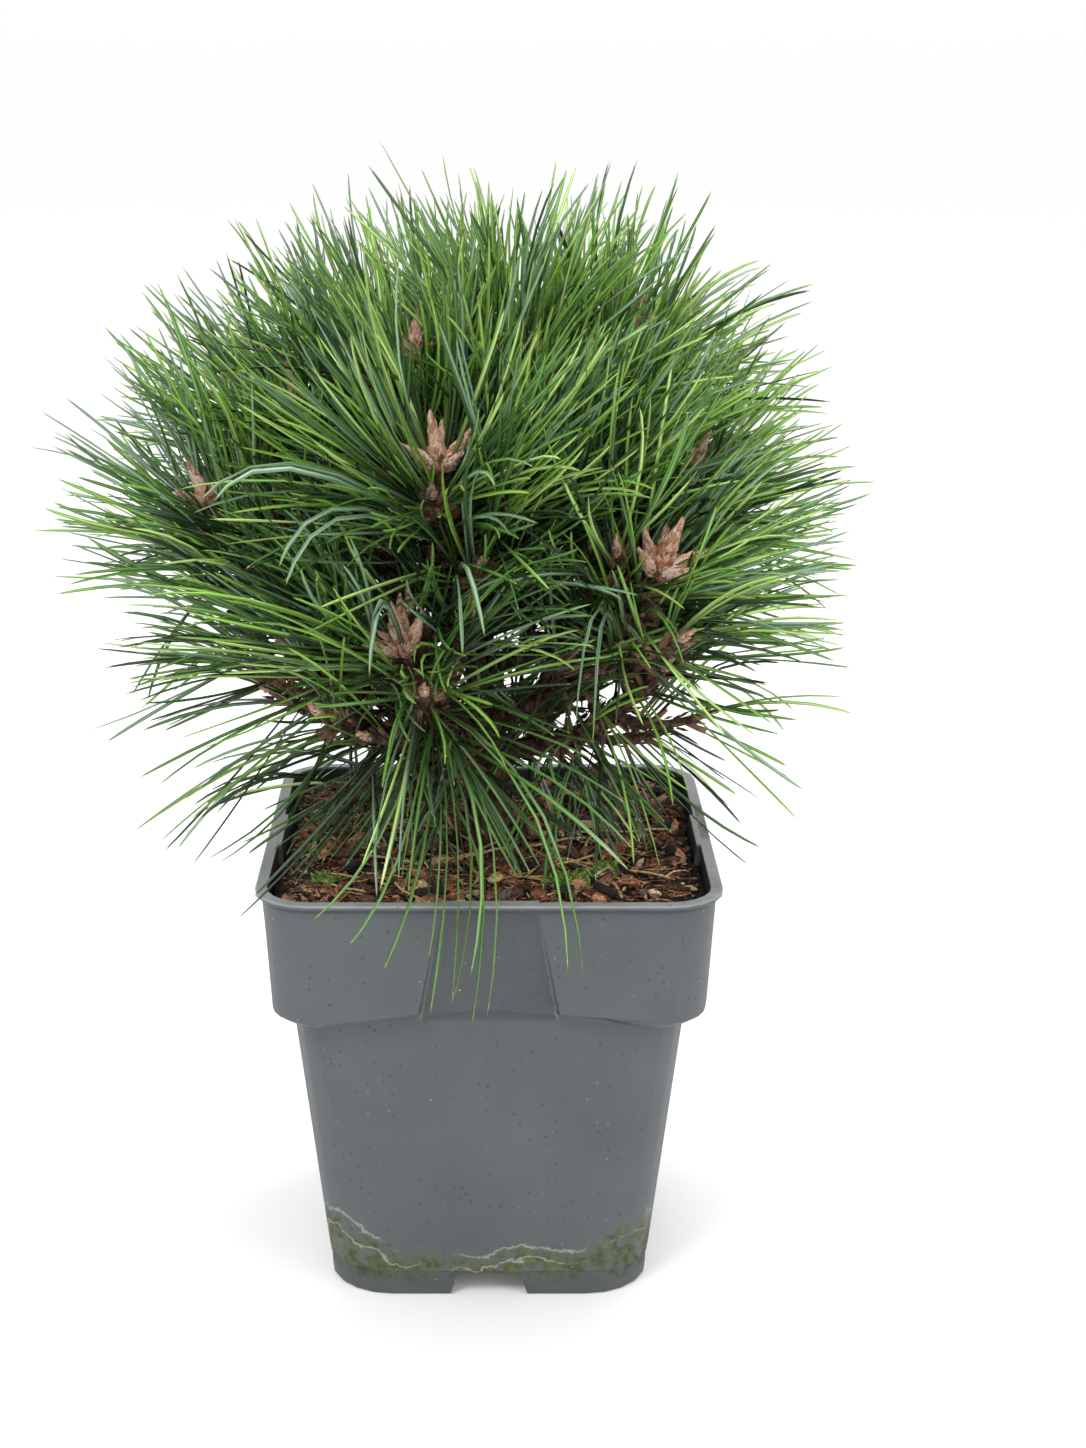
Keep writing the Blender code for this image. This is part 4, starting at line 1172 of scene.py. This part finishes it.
luck = random.Random(SCALE_SEED)
scales = Heap()
for shoot in shoots:
    line = shoot.twig if shoot.leader else shoot.course
    clothe(scales, line, SCALES_ON_SHOOT, lambda s: blend(BOUGH_RADIUS, TIP_RADIUS, s), SCALE_ON_SHOOT, luck)
    for twig in shoot.side_twigs + shoot.spurs:
        clothe(scales, twig, SCALES_ON_SIDE_TWIG, lambda s: SIDE_RADIUS, SCALE_ON_SIDE_TWIG, luck)
trunk_line = [trunk_point(i / 60.0) for i in range(61)]
clothe(scales, trunk_line, FLAKES_ON_TRUNK, trunk_radius, FLAKE_ON_TRUNK, luck)
scales.piece("papery_scales", [BUD_TONES[3], BUD_TONES[4], BARK], 50.0)

# %% [markdown]
# Mugo needles stand in pairs, each pair in a short brown sheath on its own dwarf shoot. A needle is
# long and half round, because the pair fills a circle. It could be a bevelled curve, but thousands
# of those are slow, so all needles of a shoot are worked out together in arrays of points.

# %% Measure a needle
NEEDLE_HALF = 0.52 * MM
NEEDLE_THICK = 0.95
# Rings along a needle: share of its length, and width
NEEDLE_RINGS = (
    (0.0, 0.70), (0.06, 0.86), (0.20, 1.0), (0.38, 1.0), (0.56, 1.0), (0.74, 0.95), (0.89, 0.78),
    (0.965, 0.46),
)
# Outline of a needle across its width: flat on the side of its twin
NEEDLE_SECTION = ((-1.0, 0.0), (-0.58, 0.82), (0.58, 0.82), (1.0, 0.0))
NEEDLE_SIDES = len(NEEDLE_SECTION)
TIP_FROM = 7  # the ring where a needle's tip begins to turn yellow
SHEATH_LENGTH = 6.0 * MM
SHEATH_SIDES = 4
SHEATH_RADIUS = 0.95 * MM
SHEATH_RADII = [SHEATH_RADIUS, SHEATH_RADIUS * 1.02, SHEATH_RADIUS * 0.85]


def bowed(shares, root, middle, tip):
    """Places along a needle by its root, middle and tip, and the way it runs there."""
    control = 2.0 * middle - (root + tip) / 2.0
    root, control, tip = np.array(root), np.array(control), np.array(tip)
    line = (1.0 - shares) ** 2 * root + 2.0 * shares * (1.0 - shares) * control + shares**2 * tip
    return line, (1.0 - shares) * (control - root) + shares * (tip - control)


def unit(vectors):
    return vectors / np.linalg.norm(vectors, axis=2, keepdims=True)


def needle_meshes(roots, middles, tips, flats, twists, halves):
    """Points of many needles at once, as an array of needles, points and places."""
    shares, widths = [np.array(column)[None, :, None] for column in zip(*NEEDLE_RINGS)]
    line, run = bowed(shares, roots[:, None], middles[:, None], tips[:, None])
    run = unit(run)
    normal = unit(flats[:, None] - (flats[:, None] * run).sum(2, keepdims=True) * run)
    side = np.cross(run, normal)
    angle = twists[:, None, None] * shares
    thick = normal * np.cos(angle) + side * np.sin(angle)
    wide = side * np.cos(angle) - normal * np.sin(angle)
    size = halves[:, None, None] * widths
    rings = [line + size * (wide * x + thick * y * NEEDLE_THICK) for x, y in NEEDLE_SECTION]
    body = np.stack(rings, axis=2).reshape(len(roots), -1, 3)
    return np.concatenate([body, tips[:, None]], axis=1)


def needle_faces():
    """Faces of one needle, with 1 for those of its tip."""
    last = (len(NEEDLE_RINGS) - 1) * NEEDLE_SIDES
    around = [(i, (i + 1) % NEEDLE_SIDES) for i in range(NEEDLE_SIDES)]
    faces = [list(range(NEEDLE_SIDES))]
    for low in range(0, last, NEEDLE_SIDES):
        faces += [[low + j, low + i, low + NEEDLE_SIDES + i, low + NEEDLE_SIDES + j] for i, j in around]
    faces += [[last + j, last + i, last + NEEDLE_SIDES] for i, j in around]
    body = 1 + TIP_FROM * NEEDLE_SIDES
    return faces, [0] * body + [1] * (len(faces) - body)


NEEDLE_FACES, NEEDLE_TIP_FACES = needle_faces()
print("faces of one needle:", len(NEEDLE_FACES))

# %% [markdown]
# Needles differ in green: dark ones inside, blue-grey ones with a waxy bloom, fresh yellow-green
# ones in the light, and a yellow tip on each. The dark ones inside are partly painted shade, the fresh
# ones partly painted light, and the blue-grey ones partly a painted sheen. One texture over the crown
# would smear in the export, so each tint is its own material, and a needle is dealt one by a seeded
# draw. Fine pale lines of pores run along a needle with a painted highlight down its back and painted
# shade on its flanks, and its skin is waxy and a little uneven.

# %% Mix the greens
# Tint: name, colour, roughness, share on the left of the plant and share on the right
TINTS = (
    ("needle_deep", (0.016, 0.042, 0.011), 0.30, 0.22, 0.20),
    ("needle_dark", (0.050, 0.126, 0.028), 0.28, 0.24, 0.22),
    ("needle_mid", (0.128, 0.285, 0.058), 0.26, 0.18, 0.20),
    # partly waxy bloom, partly painted sheen; dealt more on the left
    ("needle_blue_bloom_and_sheen", (0.205, 0.345, 0.195), 0.26, 0.19, 0.09),
    ("needle_fresh", (0.240, 0.465, 0.070), 0.26, 0.12, 0.20),
    ("needle_light", (0.430, 0.640, 0.180), 0.26, 0.07, 0.11),
)
MID, BLUE_BLOOM_AND_SHEEN = 2, 3
SUNNY = (0.2, 0.5, 1.4, 1.5, 1.7, 1.9)  # painted light: how much of each tint stands in full light
SHADY = (1.9, 1.6, 1.0, 0.6, 0.35, 0.08)  # and deep in the crown, as painted shade
TIP_YELLOW = (0.300, 0.360, 0.060)
SHEATH_BROWN = (0.150, 0.075, 0.040)
FOOT_SHADE_TO, FOOT_SHADE = 0.6, 0.85  # painted shade: a needle darkens towards its foot, deep among the others
BACK_MIDDLE = 0.375  # where on the map across a needle the middle of its back lies, and with it the painted highlight


def needle_material(name, colour, roughness):
    made, shader = plain_material(name, colour, roughness)
    along = result(made.node_tree, "ShaderNodeUVMap", {}, uv_map="along")
    over, up = split(along)[:2]
    pores_and_painted_highlight = abs(over - BACK_MIDDLE).fade(0.17, 0.03)
    wax = grain(object_place(made), 160.0, 3.0)
    # painted highlight down the middle of a needle's back and painted shade on the rest, over its pale pore
    # lines
    base = pores_and_painted_highlight.mix([v * 0.62 for v in colour], [min(1.0, v * 1.5 + 0.02) for v in colour])
    base = laid(wax, (0.35, [v * 0.6 for v in colour]), base)
    # painted shade towards the needle's foot
    base = laid(up.fade(FOOT_SHADE_TO, 0.0), (FOOT_SHADE, [v * 0.12 for v in colour]), base)
    base.into(shader, "Base Color")
    (wax * 0.16 + (roughness - 0.08)).into(shader, "Roughness")
    bumped(shader, pores_and_painted_highlight, 0.05 * MM, 0.5)
    return made


GREENS = [needle_material(name, colour, rough) for name, colour, rough, left, right in TINTS]
TIP = needle_material("needle_tip", TIP_YELLOW, 0.45)
SHEATH = bud_material("needle_sheath", SHEATH_BROWN, (0.300, 0.180, 0.105))
NEEDLE_FINISHES = GREENS + [TIP, SHEATH]
print("finishes on the needles:", len(NEEDLE_FINISHES))

# %% [markdown]
# The photograph shows some long needles one by one, and the bud clusters stand open in front of the
# crown. A random draw would never give the same ones, so these needles are placed from a table, and
# the room between them and the camera is kept clear of others.

# %% Keep the buds and single needles in sight
FRONT_FROM = 55.0 * MM
SIGHT_LENGTH = 75.0 * MM
SIGHT_HALF_NEEDLE = 6.0 * MM
SIGHT_ABOVE_BUD = 5.0 * MM
# Bud clusters that the picture shows, with half the width kept clear before each
OPEN_BUDS = {
    "front_high": 8.5,
    "front_left": 8.5,
    "front_right": 8.5,
    "left": 5.5,
    "left_high": 5.5,
    "right": 5.0,
    "top": 5.0,
}
# Needles that the picture shows one by one: shoot, share along its twig, then where the needle's
# middle and its tip lie, in millimetres from the pot's centre, and whether it is a pale one in front
# with the blue tint of bloom and painted sheen
PLACED_NEEDLES = (
    ("front_left", 0.30, (-1.0, -70.0, 161.0), (-3.0, -79.0, 102.0), False),
    ("front_left", 0.25, (-12.0, -69.0, 160.0), (-15.0, -80.0, 107.0), False),
    ("front_left", 0.45, (13.0, -70.0, 171.0), (25.0, -77.0, 121.0), False),
    ("front_left", 0.35, (-27.0, -69.0, 159.0), (-46.0, -80.0, 130.0), False),
    ("front_left", 0.20, (-16.0, -68.0, 158.0), (-24.0, -78.0, 122.0), False),
    ("front_left", 0.30, (-5.0, -68.0, 160.0), (-9.0, -78.0, 113.0), False),
    ("front_high", 0.55, (-50.0, -74.0, 268.0), (-80.0, -80.0, 261.0), True),
    ("front_high", 0.50, (-39.0, -76.0, 256.0), (-58.0, -86.0, 241.0), True),
    ("front_high", 0.15, (-8.0, -72.0, 238.0), (-4.0, -80.0, 219.0), True),
    ("front_left", 0.80, (-29.0, -76.0, 231.0), (-34.0, -80.0, 212.0), True),
    ("front_right", 0.45, (31.0, -74.0, 226.0), (27.0, -78.0, 193.0), True),
)


def sight_starts():
    """Places that stand open in the picture, each with the width kept clear before it."""
    rows = []
    for shoot in shoots:
        if shoot.name in OPEN_BUDS:
            rows.append((shoot.bud + RISE * SIGHT_ABOVE_BUD, OPEN_BUDS[shoot.name] * MM))
    for name, share, middle, tip, pale in PLACED_NEEDLES:
        if pale:
            middle, tip = Vector(middle) * MM, Vector(tip) * MM
            for place in (middle, middle.lerp(tip, 0.5), tip, middle * 1.5 - tip * 0.5):
                rows.append((POT_CENTRE + place, SIGHT_HALF_NEEDLE))
    return [np.array(column) for column in zip(*rows)]


def far_from(points, starts, runs):
    """How far each point lies from each straight line, which begins at its start and has its run."""
    gap = points[:, None] - starts[None]
    share = np.clip((gap * runs).sum(2) / (runs**2).sum(-1), 0.0, 1.0)
    return np.linalg.norm(gap - share[:, :, None] * runs, axis=2)


SIGHT_STARTS, SIGHT_HALVES = sight_starts()
SIGHT_RUN = np.array((camera.location - CROWN_CENTRE).normalized() * SIGHT_LENGTH)
print("places kept in sight:", len(SIGHT_STARTS))

# %% [markdown]
# Needles of neighbouring shoots comb through each other only a little, and they stay out of the pot.
# Testing every needle against every other would be slow, so a needle is only asked whether its own
# twig is about the nearest one, and that keeps each mass of needles where its solid stands.

# %% Give each shoot its own space
STRAY = 16.0 * MM
POT_MARGIN = 1.2 * MM
INSIDE_HALF = 61.0 * MM  # needles inside the rim may droop to the soil
SOIL_MARGIN = 3.5 * MM
HANGING_LOW = 124.0 * MM
SAMPLE_SHARES = np.array((0.12, 0.25, 0.4, 0.55, 0.7, 0.85, 1.0))[:, None]


def twig_lines():
    """The twigs' axes as arrays: starts, runs and the number of the shoot."""
    rows = []
    for shoot in shoots:
        for line in [shoot.twig] + shoot.side_twigs + shoot.spurs:
            rows.extend((a, b, shoot.index) for a, b in zip(line[::4], line[4::4]))
    starts, ends, owners = [np.array(column) for column in zip(*rows)]
    return starts, ends - starts, owners


STARTS, RUNS, OWNERS = twig_lines()
print("straight lines that stand for the twigs:", len(STARTS))


def clear_of_pot(points):
    """Whether points stay out of the pot's wall and the soil, and don't hang far over the rim."""
    away = points - np.array(POT_CENTRE)
    out = np.abs(away[:, :2]).max(1)
    lowest = np.full(len(points), HANGING_LOW)
    lowest[(out > INSIDE_HALF) & (away[:, 1] < -FRONT_FROM)] = POT_HEIGHT + POT_MARGIN
    lowest[out < RIM_HALF + POT_MARGIN] = POT_HEIGHT + POT_MARGIN
    lowest[out < INSIDE_HALF] = SOIL_LINE + SOIL_MARGIN
    return bool((points[:, 2] > lowest).all())


def keeps_space(shoot, points):
    """Whether points are clear of the pot and what is in sight, and not STRAY nearer to another twig."""
    if not clear_of_pot(points) or (far_from(points, SIGHT_STARTS, SIGHT_RUN)[1:] < SIGHT_HALVES).any():
        return False
    far = far_from(points, STARTS, RUNS)
    own = far[:, OWNERS == shoot.index].min(1)
    return bool((far[:, OWNERS != shoot.index].min(1) > own - STRAY).all())


# %% [markdown]
# Needles grow by the solids' own rule. They stand in a golden-angle spiral round the twig, almost
# along it near the bud and across it lower down, and longer ones stand lower. A pair that would
# come nearer to another twig than to its own, or into the pot, is tried shorter and then skipped.

# %% Grow the pairs of needles
PAIRS_ON_SHOOT = 108
PAIRS_ON_SIDE_TWIG, SIZE_ON_SIDE_TWIG = 29, 0.88
PAIRS_ON_SPUR, SIZE_ON_SPUR = 20, 0.74
TRIES = 8
NEEDLE_SEED = 100
HIGHEST_NEEDLE, LOWEST_NEEDLE = 0.95, 0.02
NEEDLE_AT_BUD, NEEDLE_AT_FOOT = 66.0 * MM, 88.0 * MM
NEEDLE_SPREAD = 9.0 * MM
NEEDLE_SHARES = (1.0, 0.9, 0.8, 0.7, 0.6, 0.5)
ANGLE_AT_BUD, ANGLE_AT_FOOT = 24.0, 106.0
ANGLE_JITTER = 14.0
ANGLE_EASE = 0.75
AROUND_JITTER = 0.6
COMB = 0.42  # how far a needle leans away from the crown's middle
SAG, SAG_AT_MIDDLE = 0.17, 0.16
SWERVE = 0.04
OUTWARD_BOW = 0.045
DRIFT, DRIFT_SCALE = 0.11, 16.0  # how far neighbours bend together, and waves to the metre
noise.seed_set(NEEDLE_SEED)  # without a seed the drift would differ from run to run
DOME_EDGE = (0.73, 1.05)  # shares of the dome where needles end
THIN_BELOW = 0.05  # a course that climbs less than this is often left out
THINNED = 0.78
THIN_FROM = 52.0 * MM
LOW_BUD, HIGH_BUD = 200.0 * MM, 262.0 * MM
LOW_FULLNESS = 0.30
FRONT_FULLNESS = 0.78
OPEN_BELOW = 253.0 * MM  # tips that hang below this are left out more and more often
OPEN_FADE = 66.0 * MM
OPENED = 0.92
OPEN_FROM = 82.0 * MM  # and the more so, the farther out they end
SKIRT_BELOW = 166.0 * MM  # but some of the lowest stay, as a skirt over the pot
SKIRT_OPENED = 0.50


def clamped(value):
    return max(0.0, min(1.0, value))


def any_vector(luck):
    return Vector([luck.uniform(-1.0, 1.0) for i in range(3)])


def fitted(shoot, root, run, sag, bow, edge):
    """The longest of a few sizes of a needle that has room, as root, middle and tip, or nothing."""
    for share in NEEDLE_SHARES:
        middle = root + run * share / 2.0 + sag * SAG_AT_MIDDLE * share**2 + bow * share
        tip = root + run * share + sag * share**2
        if crown_share(tip) < edge and keeps_space(shoot, bowed(SAMPLE_SHARES, root, middle, tip)[0]):
            return root, middle, tip
    return None


def grown_pairs(shoot, line, wanted, size, luck):
    """Root, middle and tip of each pair's middle line on one twig, with no tint given."""
    kept = []
    left_out = 0
    for number in range(TRIES * wanted):
        down = (number % wanted) / wanted
        foot, axis = point_on(line, blend(HIGHEST_NEEDLE, LOWEST_NEEDLE, down))
        out = spoke(axis, number * GOLDEN_ANGLE + luck.uniform(-AROUND_JITTER, AROUND_JITTER))
        angle = blend(ANGLE_AT_BUD, ANGLE_AT_FOOT, down**ANGLE_EASE)
        angle = math.radians(angle + luck.uniform(-ANGLE_JITTER, ANGLE_JITTER))
        outward = (foot - CROWN_CENTRE).normalized()
        course = (axis * math.cos(angle) + out * math.sin(angle) + outward * COMB).normalized()
        from_trunk = min(1.0, (foot - POT_CENTRE).xy.length / THIN_FROM)
        if course.z < THIN_BELOW and luck.random() < THINNED * from_trunk:
            continue
        length = blend(NEEDLE_AT_BUD, NEEDLE_AT_FOOT, down) + luck.uniform(-1.0, 1.0) * NEEDLE_SPREAD
        length *= size
        sag = -RISE * SAG * math.hypot(course.x, course.y) * length * luck.uniform(0.2, 1.3)
        sag += noise.noise_vector((foot + course * length) * DRIFT_SCALE) * DRIFT * length
        bow = out * length * OUTWARD_BOW + any_vector(luck) * length * SWERVE
        root = foot + out * SIDE_RADIUS * 0.8
        edge = luck.uniform(*DOME_EDGE)
        end = root + course * length + sag
        hangs = clamped((OPEN_BELOW - end.z) / OPEN_FADE)
        hangs *= min(1.0, (end - POT_CENTRE).xy.length / OPEN_FROM) ** 2
        if luck.random() < (SKIRT_OPENED if end.z < SKIRT_BELOW else OPENED) * hangs:
            left_out += 1
            continue
        pair = fitted(shoot, root, course * length, sag, bow, edge)
        if pair:
            kept.append((*pair, None))
        if len(kept) + left_out >= wanted:
            break
    return kept


def placed_pairs(shoot):
    """The pairs of this shoot that stand in the table of single needles, with their tint."""
    made = []
    for name, share, middle, tip, pale in PLACED_NEEDLES:
        if name == shoot.name:
            foot, axis = point_on(shoot.twig, share)
            middle, tip = POT_CENTRE + Vector(middle) * MM, POT_CENTRE + Vector(tip) * MM
            made.append((foot, middle, tip, BLUE_BLOOM_AND_SHEEN if pale else MID))
    return made


def fullness(shoot):
    """Low shoots stand in shade and carry fewer needles, but those in front keep most of theirs."""
    full = blend(LOW_FULLNESS, 1.0, clamped((shoot.bud.z - LOW_BUD) / (HIGH_BUD - LOW_BUD)))
    return max(full, FRONT_FULLNESS) if shoot.bud.y - POT_CENTRE.y < -FRONT_FROM / 2.0 else full


def all_pairs(shoot):
    luck = random.Random(NEEDLE_SEED + shoot.index)
    on_shoot = round(PAIRS_ON_SHOOT * fullness(shoot))
    on_side_twig = round(PAIRS_ON_SIDE_TWIG * fullness(shoot))
    pairs = placed_pairs(shoot) + grown_pairs(shoot, shoot.twig, on_shoot, shoot.needle_size, luck)
    for line in shoot.side_twigs:
        pairs += grown_pairs(shoot, line, on_side_twig, SIZE_ON_SIDE_TWIG * shoot.needle_size, luck)
    for line in shoot.spurs:
        pairs += grown_pairs(shoot, line, PAIRS_ON_SPUR, SIZE_ON_SPUR, luck)
    return pairs


PAIRS = [all_pairs(shoot) for shoot in shoots]
print("pairs of needles:", sum(len(pairs) for pairs in PAIRS))

# %% [markdown]
# Needles high up and far out get lighter tints, partly the paler green of needles in the sun and
# partly painted light, and needles deep inside get darker ones as painted shade. The two of a pair
# spread, twist and vary a little. All needles of a shoot become one mesh with their sheaths, in
# place of the imported solid, since a mesh for each needle would be slow. A map along each needle
# serves its pore lines with their painted highlight, and the painted shade at its foot.

# %% Dress each shoot in its needles
PAIR_SPREAD = 0.065
PAIR_GAP = 0.12 * MM
MOST_TWIST = 1.6
SAME_TINT = 0.8  # how often a needle has the tint of its pair
PALE_HALF = 1.5
LIGHT_OUT = 3.0  # painted light: a needle is lighter the nearer its tip is to the dome
LIGHT_START = 1.84
LIGHT_RISE, LIGHT_FALL = 165.0 * MM, 110.0 * MM  # and the higher it stands
SIDE_TO_SIDE = 120.0 * MM  # over this width the shares of the tints change from left to right
TINT_NUMBERS = range(len(TINTS))


def tint_weights(shoot, tip):
    """How much of each tint suits a needle, by its shoot's side and the light at its tip, as painted light
    and shade.
    """
    rightness = clamped(0.5 + (shoot.bud.x - POT_CENTRE.x) / SIDE_TO_SIDE)
    rise = tip.z - CROWN_CENTRE.z
    light = min(1.0, crown_share(tip)) * LIGHT_OUT - LIGHT_START
    light = clamped(light + rise / (LIGHT_RISE if rise > 0.0 else LIGHT_FALL))
    rows = zip(TINTS, SHADY, SUNNY)
    return [blend(row[3], row[4], rightness) * blend(shady, sunny, light) for row, shady, sunny in rows]


def add_needle_map(mesh, needle_count):
    """A map that runs once round each needle and once along it. The sheaths stay at zero."""
    layer = mesh.uv_layers.new(name="along")
    one = []
    for face in NEEDLE_FACES:
        for corner in face:
            ring = min(corner // NEEDLE_SIDES, len(NEEDLE_RINGS) - 1)
            one.append(((corner % NEEDLE_SIDES) / NEEDLE_SIDES, NEEDLE_RINGS[ring][0]))
    values = np.zeros((len(layer.uv), 2), np.float32)
    values[: len(one) * needle_count] = np.tile(np.array(one, np.float32), (needle_count, 1))
    layer.uv.foreach_set("vector", values.ravel())


def needle_piece(shoot, pairs):
    """All paired needles of a shoot with their sheaths, in place of its CAD node."""
    luck = random.Random(2 * NEEDLE_SEED + shoot.index)
    rows, tints, sheaths = [], [], []
    for root, middle, tip, given in pairs:
        pale = given == BLUE_BLOOM_AND_SHEEN
        gap = spoke((tip - root).normalized(), luck.uniform(0.0, math.pi))
        length = (tip - root).length
        weights = tint_weights(shoot, tip)
        tint = BLUE_BLOOM_AND_SHEEN if pale else dealt(luck, weights)
        if given is not None:
            weights = [1.0 if i == given else 0.0 for i in TINT_NUMBERS]
            tint = given
        for apart in (gap, -gap):
            spread = length * PAIR_SPREAD * luck.uniform(0.3, 1.5)
            wobble = any_vector(luck) * length * 0.02
            end = root + (tip - root) * luck.uniform(0.94, 1.03) + apart * spread
            twist = luck.uniform(-MOST_TWIST, MOST_TWIST)
            half = NEEDLE_HALF * (PALE_HALF if pale else luck.uniform(0.82, 1.22))
            bend = middle + apart * spread * 0.35 + wobble
            rows.append((root + apart * PAIR_GAP, bend, end, apart, twist, half))
            tints.append(tint if luck.random() < SAME_TINT else dealt(luck, weights))
        start = (middle - root).normalized()
        line = [root - start * MM, root + start * SHEATH_LENGTH * 0.5, root + start * SHEATH_LENGTH]
        sheaths.append(strand(line, SHEATH_RADII, SHEATH_SIDES))
    points = needle_meshes(*[np.array(column, float) for column in zip(*rows)])
    needles = Heap()
    for places, tint in zip(points.tolist(), tints):
        shades = [len(GREENS) if in_tip else tint for in_tip in NEEDLE_TIP_FACES]
        needles.add(places, NEEDLE_FACES, shades)
    for sheath in sheaths:
        needles.add(*sheath, len(GREENS) + 1)
    mesh = needles.mesh("needles_of_" + shoot.name)
    add_needle_map(mesh, len(tints))
    finish_mesh(mesh, NEEDLE_FINISHES, needles.shades, 70.0, "foliage_" + shoot.name)


for shoot, pairs in zip(shoots, PAIRS):
    needle_piece(shoot, pairs)
